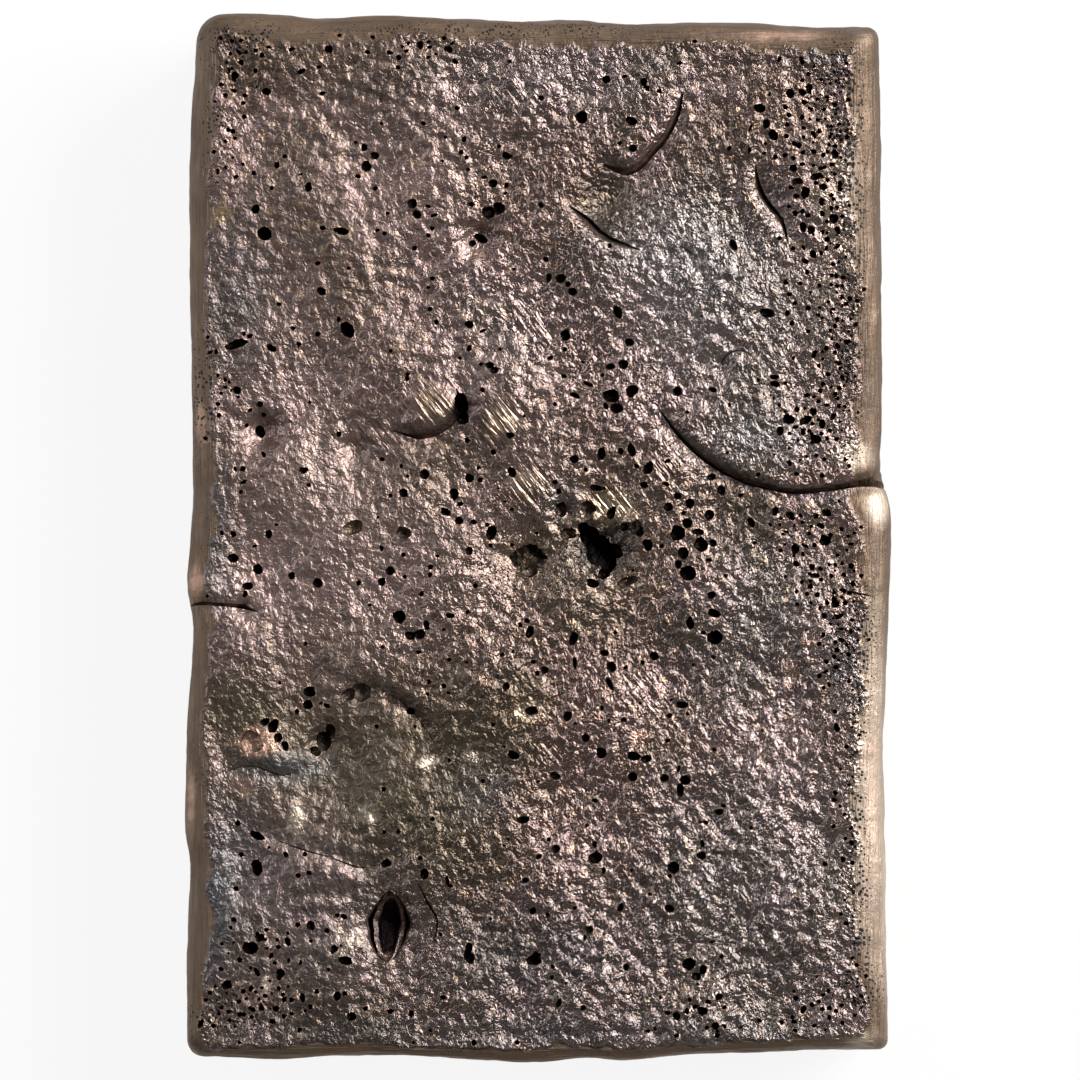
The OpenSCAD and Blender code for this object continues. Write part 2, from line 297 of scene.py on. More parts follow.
@dataclass(frozen=True)
class CopperSkin:
    """Finish of as-cast copper: a dark, glossy oxide skin with bare copper in patches. Holes and hollows
    carry painted shade, and some pale patches are painted highlights.
    """

    dark: Colour = (0.102, 0.068, 0.050)
    plum: Colour = (0.246, 0.165, 0.154)
    brown: Colour = (0.397, 0.253, 0.141)
    pink: Colour = (0.704, 0.435, 0.320)
    olive: Colour = (0.102, 0.077, 0.046)
    blue: Colour = (0.096, 0.099, 0.105)
    # Pale copper, also used as painted highlight
    pale_and_highlight: Colour = (0.742, 0.602, 0.474)
    rim_brown: Colour = (0.150, 0.095, 0.056)
    # Near-black of the painted shade in holes, hollows and pinholes
    hole_shadow: Colour = (0.004, 0.003, 0.003)
    silver: Colour = (0.271, 0.253, 0.256)
    rose: Colour = (0.339, 0.241, 0.218)
    gold: Colour = (0.450, 0.315, 0.185)
    refraction: float = 2.08
    skin_metal: float = 0.74

    def colour(self, graph: NodeGraph, place: Signal, masks: dict[str, Signal]) -> Signal:
        """Colour of the skin.

        Args:
            graph: Tree to build in.
            place: Coordinates in millimetres.
            masks: The piece's own masks by name.

        Returns:
            The base colour.
        """
        clouds = graph.noise(place, 0.055, 4.0, 0.6, 0.6)
        specks = graph.noise(place, 0.9, 3.0, 0.7)
        grain = graph.noise(place, 3.2, 2.0, 0.6)
        shade = graph.mix(clouds.ramp(0.36, 0.66), self.dark, self.plum)
        shade = graph.mix(specks.ramp(0.50, 0.74) * 0.65, shade, self.brown)
        spread = 0.35 + specks * 1.3
        shade = graph.mix(masks[Tint.SILVER.value], shade, self.silver)
        shade = graph.mix(masks[Tint.ROSE.value], shade, self.rose)
        shade = graph.mix(masks[Tint.OLIVE.value] * 0.9, shade, self.olive)
        shade = graph.mix(masks[Tint.BLUE.value] * 0.85, shade, self.blue)
        # Pale copper, and painted highlight where the pale zones stand for lit slopes and edges
        shade = graph.mix((masks[Tint.PALE.value] * spread).ramp(0.25, 1.0) * 0.75, shade, self.pale_and_highlight)
        shade = graph.mix((masks[Tint.PINK.value] * spread).ramp(0.3, 1.0) * 0.8, shade, self.pink)
        shade = graph.mix((masks[Tint.GOLD.value] * spread).ramp(0.0, 1.0) * 0.85, shade, self.gold)
        flakes = grain.ramp(0.60, 0.74) * specks.ramp(0.45, 0.65)
        shade = graph.mix(flakes * 0.12 * (1 - masks["rim"]), shade, self.pale_and_highlight)
        rim_shade = graph.mix(self.streaks(graph, place, masks), self.rim_brown, self.dark)
        mottle = graph.noise(place, 0.22, 4.0, 0.6, 0.1)
        wall_shade = graph.mix(mottle.ramp(0.32, 0.72), self.dark, self.rim_brown)
        wall_shade = graph.mix(specks.ramp(0.55, 0.75) * 0.3, wall_shade, self.brown)
        rim_shade = graph.mix(masks["mould_wall"], rim_shade, wall_shade)
        # Pale copper and painted highlight on the rim, mostly along the lit right side
        rim_shade = graph.mix((masks[Tint.PALE.value] * 1.2).ramp(0.2, 1.1) * 0.8, rim_shade, self.pale_and_highlight)
        rim_pink = (masks[Tint.PINK.value] * spread).ramp(0.25, 0.9) * 0.6
        rim_shade = graph.mix(rim_pink, rim_shade, self.pink)
        shade = graph.mix(masks["rim"], shade, rim_shade)
        # Painted shade: the finest pinholes are near-black dots
        shade = graph.mix(self.pinholes(graph, place, masks), shade, self.hole_shadow)
        edge = masks["cavity"].ramp(0.0, 0.1) * (1 - masks["cavity"].ramp(0.1, 0.4))
        shade = graph.mix(edge * 0.45, shade, self.pink)
        # Painted shade: the colour turns near-black with depth in holes and hollows, and in the
        # near-black zones
        return graph.mix(self.depth_shade(masks), shade, self.hole_shadow)

    def depth_shade(self, masks: dict[str, Signal]) -> Signal:
        """How far the skin is painted near-black as shade in holes, hollows and creases: painted shade.
        """
        return (masks["cavity"].ramp(0.1, 0.7) * 0.95).maximum(masks[Tint.SOOT.value])

    def streaks(self, graph: NodeGraph, place: Signal, masks: dict[str, Signal]) -> Signal:
        """Fine streaks along the rim, which follow the edge of each side."""
        x, y, z = graph.parts(place)
        lengthwise = graph.noise(graph.vector(x * 2.4, y * 0.12, z * 1.6), 1.0, 3.0, 0.6)
        crosswise = graph.noise(graph.vector(x * 0.12, y * 2.4, z * 1.6), 1.0, 3.0, 0.6)
        turned = masks["rim_cross"]
        return (lengthwise * (1 - turned) + crosswise * turned).ramp(0.38, 0.70) * 0.8

    def pinholes(self, graph: NodeGraph, place: Signal, masks: dict[str, Signal]) -> Signal:
        """Mask of the finest gas holes, too small to cut, painted near-black as painted shade."""
        sockets = {"Vector": place, "Scale": 1.9, "Randomness": 1.0}
        spots = graph.value("ShaderNodeTexVoronoi", {"voronoi_dimensions": "2D"}, sockets)
        chance = graph.noise(place, 0.8, 1.0, 0.5)
        size = masks["pinholes"] * 0.42 * chance.ramp(0.25, 0.62)
        return (size - spots).ramp(-0.02, 0.05)

    def height(self, graph: NodeGraph, place: Signal, masks: dict[str, Signal]) -> Signal:
        """Height of the finest wrinkles, in millimetres."""
        wrinkles = graph.noise(graph.stretched(place, -70.0, 0.55, 1.0), 1.6, 3.0, 0.6, 0.7)
        crumple = graph.noise(place, 1.25, 3.0, 0.52, 0.5)
        ridges = graph.noise(graph.stretched(place, -52.0, 0.1, 1.0), 1.8, 2.0, 0.5, 0.3)
        combed = masks["combed"]
        face = (wrinkles * 0.18 + crumple * 0.50) * (1 - combed * 0.8) + ridges * combed * 0.9
        calm = masks["rim"] * 0.82
        fine = self.streaks(graph, place, masks) * 0.10 * masks["rim"] * (1 - masks["mould_wall"])
        grain = graph.noise(place, 0.8, 4.0, 0.65, 0.4) * 0.4 * masks["mould_wall"]
        pits = self.pinholes(graph, place, masks) * 0.25
        return face * (1 - calm) * (1 - masks["satin"] * 0.3) + fine + grain - pits

    def build(self) -> bpy.types.Material:
        """Make the material."""
        material = bpy.data.materials.new("copper_skin")
        material.use_nodes = True
        graph = NodeGraph(material.node_tree)
        shader = material.node_tree.nodes["Principled BSDF"]
        shader.inputs["IOR"].default_value = self.refraction
        place = graph.scaled(graph.value("ShaderNodeTexCoord", output="Object"), 1.0 / MM)
        names = [*MASKS, *(tint.value for tint in Tint)]
        masks = {}
        for name in names:
            masks[name] = graph.value("ShaderNodeAttribute", {"attribute_name": name}, output="Fac")
        wobble = graph.noise(place, 0.6, 3.0, 0.6) - 0.5
        masks["rim"] = (masks["rim"] + wobble * 0.9).ramp(0.25, 0.75)
        graph.feed(shader.inputs["Base Color"], self.colour(graph, place, masks))
        patches = graph.noise(place, 0.35, 3.0, 0.6)
        roughness = 0.155 + patches.ramp(0.3, 0.7) * 0.09 + masks["satin"] * 0.18
        roughness = roughness + masks["rim"] * 0.3 + masks["cavity"] * 0.25
        graph.feed(shader.inputs["Roughness"], roughness)
        # Where the painted shade lies, the skin turns fully metallic with its near-black colour, so it
        # reflects almost nothing
        deep = self.depth_shade(masks)
        graph.feed(shader.inputs["Metallic"], deep + (1 - deep) * self.skin_metal)
        sockets = {"Height": self.height(graph, place, masks), "Strength": 0.85, "Distance": MM}
        graph.feed(shader.inputs["Normal"], graph.value("ShaderNodeBump", None, sockets))
        return material


@dataclass(frozen=True)
class Fold:
    """A cold shut: a tongue of metal that froze as it lapped over the metal beside it.

    The path is in pixels of the photograph, with its share of the full size at each point.
    The lip's height, the width and the depth are in millimetres.
    The tongue lies to the left of the path where tongue is 1, and to the right where it is -1.
    """

    path: tuple[tuple[float, float, float], ...]
    tongue: float
    lip: float = 0.9
    width: float = 0.45
    depth: float = 2.6


@dataclass(frozen=True)
class Funnel:
    """A dimple that the last metal to sink left, with wrinkles that run into it (pixels, mm)."""

    x: float
    y: float
    radius: float
    depth: float
    wrinkles: int


@dataclass(frozen=True)
class Zone:
    """A soft-edged patch of the face, in pixels of the photograph, with its strength."""

    x: float
    y: float
    across: float
    along: float
    strength: float


LEFT_SIDE: Table = (
    (-0.95, 0.15), (-0.8, 0.15), (-0.63, 0.4), (-0.57, 0.0), (-0.4, 0.1), (-0.28, 0.4), (-0.15, 0.7),
    (-0.11, 0.1), (0.05, 0.6), (0.2, 0.6), (0.5, 0.35), (0.66, 0.2), (0.83, 0.55), (0.93, 0.85),
)
RIGHT_SIDE: Table = (
    (-0.9, 0.3), (-0.75, 0.45), (-0.65, 0.4), (-0.54, 0.55), (-0.42, 0.7), (-0.27, 0.45), (-0.06, 0.1),
    (0.03, 0.0), (0.08, 0.2), (0.13, 1.0), (0.21, 0.7), (0.45, 0.75), (0.6, 0.85), (0.8, 0.75),
    (0.95, 1.0),
)
FAR_SIDE: Table = (
    (-0.87, 0.0), (-0.73, 0.05), (-0.64, 0.4), (-0.5, 0.15), (-0.33, 0.2), (-0.05, 0.6), (0.1, 0.4),
    (0.26, 0.85), (0.34, 0.7), (0.65, 0.7), (0.71, 0.9), (0.95, 1.0),
)
NEAR_SIDE: Table = (
    (-0.95, 0.45), (-0.75, 0.2), (-0.59, 0.55), (-0.28, 0.45), (-0.19, 0.2), (0.0, 0.0), (0.14, 0.4),
    (0.26, 0.1), (0.45, 0.7), (0.62, 0.7), (0.79, 0.9), (0.93, 1.0),
)

# Swells and dimples: place as shares of the half sizes, share of the radius, share of the height
SWELLS: tuple[tuple[float, float, float, float], ...] = (
    (0.48, 0.24, 0.45, 0.6), (0.66, 0.15, 0.4, 0.8), (0.86, 0.16, 0.4, 0.6), (0.42, 0.5, 0.9, 0.45),
    (0.1, 0.9, 0.6, 0.3), (0.24, 0.75, 0.35, 0.4), (-0.3, 0.25, 0.25, 0.9), (-0.58, -0.43, 0.75, -1.0),
    (-0.2, -0.5, 0.5, 0.4), (-0.58, -0.62, 0.35, 0.5), (0.17, -0.01, 0.5, -0.7),
    (-0.05, -0.03, 0.3, -0.9),
)
# Waves of the hummocks: heading, share of the pitch, phase, weight
HUMMOCK_WAVES: tuple[tuple[float, float, float, float], ...] = (
    (18.0, 1.0, 40.0, 0.4), (77.0, 1.3, 130.0, 0.35), (-44.0, 0.85, 215.0, 0.3),
    (52.0, 1.7, 300.0, 0.4),
)

FOLDS: tuple[Fold, ...] = (
    Fold(
        path=(
            (656, 404, 0.2), (672, 426, 0.7), (690, 446, 1.0), (715, 466, 1.0), (745, 481, 1.0),
            (775, 489, 1.0), (800, 492, 1.0), (830, 489, 1.0), (860, 484, 1.3), (880, 480, 2.6),
            (905, 476, 4.2),
        ),
        tongue=1.0, lip=1.1, width=0.5, depth=3.0,
    ),
    Fold(
        path=(
            (683, 92, 0.3), (678, 112, 0.9), (667, 135, 1.0), (650, 155, 1.0), (640, 166, 1.0),
            (625, 172, 1.0), (603, 164, 0.35),
        ),
        tongue=-1.0, lip=0.8, width=0.75,
    ),
    Fold(
        path=(
            (570, 206, 0.3), (588, 220, 1.0), (605, 236, 1.0), (640, 250, 0.3),
        ),
        tongue=-1.0, lip=0.9, width=0.7,
    ),
    Fold(
        path=(
            (720, 378, 0.2), (722, 362, 0.6), (732, 352, 0.7), (746, 351, 0.6), (756, 360, 0.2),
        ),
        tongue=-1.0, lip=0.6, width=0.35, depth=1.2,
    ),
    Fold(
        path=(
            (756, 166, 0.3), (760, 188, 1.0), (770, 205, 1.0), (782, 220, 0.9), (790, 246, 0.2),
        ),
        tongue=-1.0, lip=0.8, width=0.6,
    ),
    Fold(
        path=(
            (392, 430, 0.2), (420, 437, 0.9), (446, 427, 1.0), (460, 408, 1.2), (456, 388, 0.3),
        ),
        tongue=1.0, lip=0.9, width=0.55,
    ),
    Fold(
        path=(
            (168, 602, 1.3), (195, 603, 1.0), (225, 605, 0.8), (243, 607, 1.1), (256, 612, 0.25),
        ),
        tongue=1.0, lip=0.5,
    ),
    Fold(
        path=(
            (418, 884, 0.2), (428, 904, 0.5), (437, 922, 0.4), (432, 950, 0.2),
        ),
        tongue=1.0, lip=0.2, width=0.6, depth=1.6,
    ),
    Fold(
        path=(
            (842, 589, 0.2), (862, 594, 0.4), (884, 597, 0.2),
        ),
        tongue=1.0, lip=0.2, width=0.6, depth=1.2,
    ),
    Fold(
        path=(
            (258, 834, 0.2), (296, 848, 0.8), (330, 858, 0.8), (362, 868, 0.8), (392, 860, 0.2),
        ),
        tongue=-1.0, lip=0.7, width=0.18, depth=0.5,
    ),
    Fold(
        path=(
            (368, 686, 0.2), (398, 700, 0.8), (420, 722, 0.8), (440, 752, 0.2),
        ),
        tongue=1.0, lip=0.8, width=0.15, depth=0.4,
    ),
    Fold(
        path=(
            (222, 772, 0.2), (250, 766, 0.7), (282, 776, 0.8), (300, 768, 0.2),
        ),
        tongue=1.0, lip=0.6, width=0.15, depth=0.4,
    ),
    Fold(
        path=(
            (675, 242, 0.2), (688, 250, 0.4), (700, 258, 0.2),
        ),
        tongue=1.0, lip=0.3, width=0.6, depth=1.2,
    ),
)
# Section of a slit, and of the eye-shaped blow hole: share of the width, share of the depth
SLIT_SECTION: Table = (
    (-0.95, 0.5), (-0.5, 0.0), (-0.22, -0.35), (-0.08, -1.0), (0.08, -1.0), (0.22, -0.35), (0.5, 0.0),
    (0.95, 0.5),
)
EYE_SECTION: Table = (
    (-0.62, 0.4), (-0.5, 0.0), (-0.45, -0.5), (-0.39, -0.3), (-0.3, -0.24), (-0.2, -0.8), (0.16, -0.8),
    (0.25, -0.4), (0.36, -0.34), (0.44, -0.6), (0.5, 0.0), (0.62, 0.4),
)
# The blow hole: place and half sizes in pixels, and its depth in millimetres as the strength
EYE = Zone(388.0, 927.0, 21.0, 36.0, 2.4)

FUNNELS: tuple[Funnel, ...] = (
    Funnel(262, 431, 28, 1.8, 9), Funnel(479, 240, 28, 1.6, 11), Funnel(727, 368, 15, 0.6, 7),
    Funnel(356, 450, 22, 0.7, 7), Funnel(243, 607, 12, 0.8, 6), Funnel(528, 556, 34, 0.3, 5),
    Funnel(322, 742, 22, 1.0, 6), Funnel(355, 694, 26, 0.7, 7), Funnel(562, 512, 16, 0.6, 5),
    Funnel(604, 550, 42, 0.9, 7), Funnel(388, 927, 44, 0.9, 9), Funnel(606, 196, 34, 0.9, 5),
)
# Patches where the skin froze in fine parallel ridges
COMBED: tuple[Zone, ...] = (
    Zone(430, 403, 30, 26, 1.0), Zone(502, 424, 24, 26, 1.0), Zone(525, 484, 26, 24, 1.0),
    Zone(535, 318, 30, 34, 0.6), Zone(515, 92, 36, 26, 0.4), Zone(370, 440, 34, 26, 0.5),
    Zone(640, 690, 24, 20, 0.5), Zone(550, 752, 26, 16, 0.6), Zone(612, 505, 24, 18, 1.0),
    Zone(662, 466, 18, 26, 0.9),
)
# Patches of ragged crystals and crumbs
RAGGED: tuple[Zone, ...] = (
    Zone(602, 515, 46, 34, 1.0), Zone(606, 565, 50, 40, 1.0), Zone(265, 740, 22, 20, 1.0),
    Zone(345, 700, 28, 20, 0.6), Zone(640, 590, 30, 16, 0.7), Zone(525, 720, 34, 22, 0.5),
    Zone(620, 755, 36, 14, 0.7), Zone(345, 790, 70, 60, 0.7), Zone(390, 925, 40, 50, 0.35),
    Zone(700, 550, 26, 50, 0.45), Zone(330, 955, 40, 16, 0.6), Zone(700, 1010, 36, 22, 0.5),
)
# Patches where the skin froze smooth
SMOOTH: tuple[Zone, ...] = (
    Zone(503, 420, 26, 24, 0.9), Zone(525, 484, 26, 22, 0.8), Zone(430, 403, 28, 24, 0.7),
    Zone(612, 505, 22, 16, 0.7), Zone(640, 200, 40, 30, 0.6), Zone(600, 195, 26, 30, 0.7),
    Zone(320, 770, 80, 45, 0.6), Zone(230, 715, 40, 34, 0.6), Zone(450, 930, 28, 50, 0.5),
    Zone(470, 790, 50, 60, 0.4), Zone(660, 480, 30, 26, 0.3),
)
# Patches where the skin is duller
SATIN: tuple[Zone, ...] = (
    Zone(300, 190, 170, 190, 1.0), Zone(300, 540, 150, 170, 0.9), Zone(280, 920, 140, 140, 0.9),
    Zone(340, 760, 130, 90, 0.9), Zone(480, 420, 90, 90, 0.5), Zone(590, 540, 60, 60, 0.25),
)
# Share of finely broken skin, and of long lumps that lean the way the metal ran
FINE_SKIN: tuple[Zone, ...] = (
    Zone(250, 330, 110, 210, 0.8), Zone(250, 560, 110, 140, 0.8), Zone(230, 900, 90, 190, 0.7),
    Zone(340, 560, 120, 90, 0.5),
)
LONG_LUMPS: tuple[Zone, ...] = (
    Zone(760, 880, 190, 230, 1.0), Zone(720, 310, 120, 130, 0.8), Zone(540, 980, 180, 110, 0.8),
    Zone(360, 110, 150, 70, 0.6), Zone(770, 590, 90, 120, 0.6), Zone(560, 90, 170, 80, 0.6),
)
PORE_ZONES: tuple[Zone, ...] = (
    Zone(840, 150, 36, 90, 1.0), Zone(842, 330, 30, 110, 1.0), Zone(815, 430, 40, 40, 0.7),
    Zone(840, 560, 40, 60, 0.9), Zone(850, 650, 26, 30, 1.0), Zone(795, 530, 30, 20, 0.6),
    Zone(235, 60, 40, 40, 0.7), Zone(210, 160, 16, 60, 0.6), Zone(215, 400, 18, 60, 0.7),
    Zone(240, 1005, 60, 30, 0.9), Zone(290, 960, 60, 50, 0.5), Zone(440, 45, 60, 20, 0.5),
    Zone(280, 35, 60, 14, 0.7), Zone(855, 790, 16, 110, 0.9), Zone(860, 930, 20, 80, 0.7),
    Zone(840, 1005, 50, 26, 0.7), Zone(700, 1015, 40, 24, 0.4), Zone(480, 560, 200, 200, 0.06),
    Zone(560, 900, 200, 120, 0.05),
)
# Finest pinholes, painted as near-black dots of shade over shallow bump pits
PINHOLE_ZONES: tuple[Zone, ...] = (
    Zone(848, 170, 18, 120, 1.0), Zone(850, 330, 15, 120, 1.0), Zone(830, 90, 30, 50, 0.8),
    Zone(850, 640, 28, 70, 1.0), Zone(857, 800, 11, 150, 1.0), Zone(862, 930, 11, 70, 0.8),
    Zone(850, 990, 40, 30, 0.8), Zone(215, 140, 16, 60, 0.8), Zone(205, 390, 14, 80, 0.9),
    Zone(240, 45, 50, 26, 0.8), Zone(480, 30, 200, 10, 0.7), Zone(235, 1010, 60, 26, 0.9),
    Zone(215, 545, 26, 40, 0.5), Zone(790, 530, 30, 30, 0.6), Zone(820, 440, 40, 40, 0.6),
    Zone(600, 190, 20, 26, 0.4),
)
TINTS: dict[Tint, tuple[Zone, ...]] = {
    Tint.PINK: (
        Zone(450, 140, 90, 80, 0.25), Zone(410, 200, 80, 50, 0.25), Zone(203, 480, 8, 50, 0.35),
        Zone(198, 540, 8, 30, 0.3), Zone(258, 742, 24, 20, 1.0), Zone(195, 585, 10, 22, 0.8),
        Zone(240, 787, 26, 12, 0.6), Zone(640, 737, 12, 12, 0.9), Zone(812, 640, 14, 18, 0.6),
        Zone(790, 672, 16, 28, 0.6), Zone(810, 742, 36, 26, 0.4), Zone(872, 800, 14, 200, 0.5),
        Zone(704, 550, 20, 50, 0.5), Zone(497, 425, 18, 20, 0.7), Zone(200, 420, 8, 30, 0.6),
        Zone(190, 800, 7, 60, 0.6), Zone(520, 700, 60, 30, 0.3), Zone(480, 600, 60, 40, 0.35),
        Zone(780, 35, 70, 8, 0.7), Zone(335, 600, 40, 20, 0.4),
    ),
    Tint.OLIVE: (
        Zone(335, 765, 110, 90, 0.95), Zone(235, 710, 60, 40, 0.7), Zone(525, 556, 30, 24, 0.35),
        Zone(470, 745, 60, 36, 0.7), Zone(420, 830, 70, 40, 0.55), Zone(610, 620, 50, 30, 0.5),
        Zone(530, 690, 40, 20, 0.6), Zone(385, 500, 60, 40, 0.35), Zone(345, 300, 50, 60, 0.3),
        Zone(602, 205, 36, 30, 0.75), Zone(590, 545, 56, 50, 0.8), Zone(540, 760, 110, 70, 0.25),
        Zone(620, 890, 50, 30, 0.4), Zone(330, 960, 20, 14, 0.8), Zone(660, 745, 40, 26, 0.5),
    ),
    Tint.BLUE: (
        Zone(290, 930, 120, 100, 0.4), Zone(540, 960, 110, 70, 0.55), Zone(540, 1035, 330, 20, 0.5),
        Zone(212, 540, 20, 90, 0.7), Zone(230, 300, 50, 90, 0.5), Zone(850, 660, 26, 36, 0.7),
        Zone(825, 48, 34, 20, 0.7), Zone(225, 850, 40, 60, 0.6), Zone(210, 930, 22, 60, 0.6),
        Zone(285, 768, 50, 16, 0.8), Zone(558, 500, 24, 18, 0.6), Zone(835, 498, 40, 8, 0.6),
        Zone(600, 550, 24, 24, 0.8), Zone(560, 60, 160, 40, 0.3), Zone(480, 790, 40, 30, 0.4),
    ),
    Tint.SILVER: (
        Zone(720, 310, 120, 130, 0.45), Zone(760, 890, 150, 170, 0.4), Zone(650, 240, 80, 60, 0.3),
        Zone(770, 440, 70, 30, 0.45), Zone(760, 620, 90, 90, 0.35), Zone(560, 90, 120, 50, 0.2),
        Zone(500, 330, 60, 60, 0.2),
    ),
    Tint.ROSE: (
        Zone(320, 540, 130, 130, 0.6), Zone(420, 170, 130, 100, 0.35), Zone(480, 600, 90, 70, 0.35),
        Zone(300, 380, 100, 80, 0.2), Zone(560, 420, 90, 60, 0.25), Zone(660, 470, 60, 60, 0.2),
    ),
    Tint.GOLD: (
        Zone(222, 213, 11, 9, 1.0), Zone(345, 231, 9, 6, 0.8), Zone(352, 528, 10, 7, 0.8),
        Zone(614, 508, 24, 18, 0.6), Zone(430, 404, 24, 22, 0.4), Zone(503, 420, 22, 20, 0.4),
        Zone(525, 484, 22, 20, 0.35), Zone(575, 530, 90, 80, 0.12), Zone(528, 556, 24, 22, 0.3),
        Zone(604, 196, 24, 26, 0.12), Zone(540, 740, 110, 70, 0.08), Zone(640, 590, 30, 20, 0.3),
        Zone(530, 714, 24, 14, 0.4), Zone(264, 233, 7, 7, 0.5),
    ),
    # Painted shade: pockets of the middle cavity, the curled fold's hole, a bowl, the blow hole and a
    # fold's valley
    Tint.SOOT: (
        Zone(602, 550, 24, 28, 0.85), Zone(560, 510, 6, 9, 0.8), Zone(590, 508, 8, 6, 0.7),
        Zone(568, 534, 6, 5, 0.7), Zone(460, 410, 9, 12, 1.0), Zone(322, 741, 8, 12, 0.4),
        Zone(388, 927, 24, 38, 0.15), Zone(598, 208, 20, 18, 0.25), Zone(600, 188, 18, 26, 0.2),
    ),
    # Pale copper and golden flakes, and painted highlights: the lit right rim and its corners, the lit
    # edge by the main fold's notch, and lit slopes by the blow hole and on the ridge beside it
    Tint.PALE: (
        Zone(835, 200, 34, 160, 0.5), Zone(880, 780, 13, 240, 0.6), Zone(850, 455, 30, 18, 0.7),
        Zone(880, 506, 14, 20, 0.8), Zone(614, 508, 24, 18, 1.0), Zone(430, 404, 22, 22, 0.4),
        Zone(503, 418, 24, 22, 0.65), Zone(524, 482, 26, 16, 0.6), Zone(530, 714, 22, 10, 0.8),
        Zone(428, 764, 12, 8, 1.0), Zone(470, 757, 12, 8, 0.9), Zone(284, 163, 4, 5, 1.0),
        Zone(368, 814, 16, 14, 0.7), Zone(350, 940, 20, 20, 0.65), Zone(860, 790, 14, 210, 0.55),
        Zone(296, 818, 12, 24, 0.9), Zone(266, 985, 7, 14, 0.9), Zone(865, 35, 12, 8, 0.3),
        Zone(350, 530, 8, 6, 0.5), Zone(860, 1040, 20, 10, 0.5), Zone(890, 930, 6, 120, 0.5),
        Zone(750, 36, 70, 6, 0.3),
    ),
}

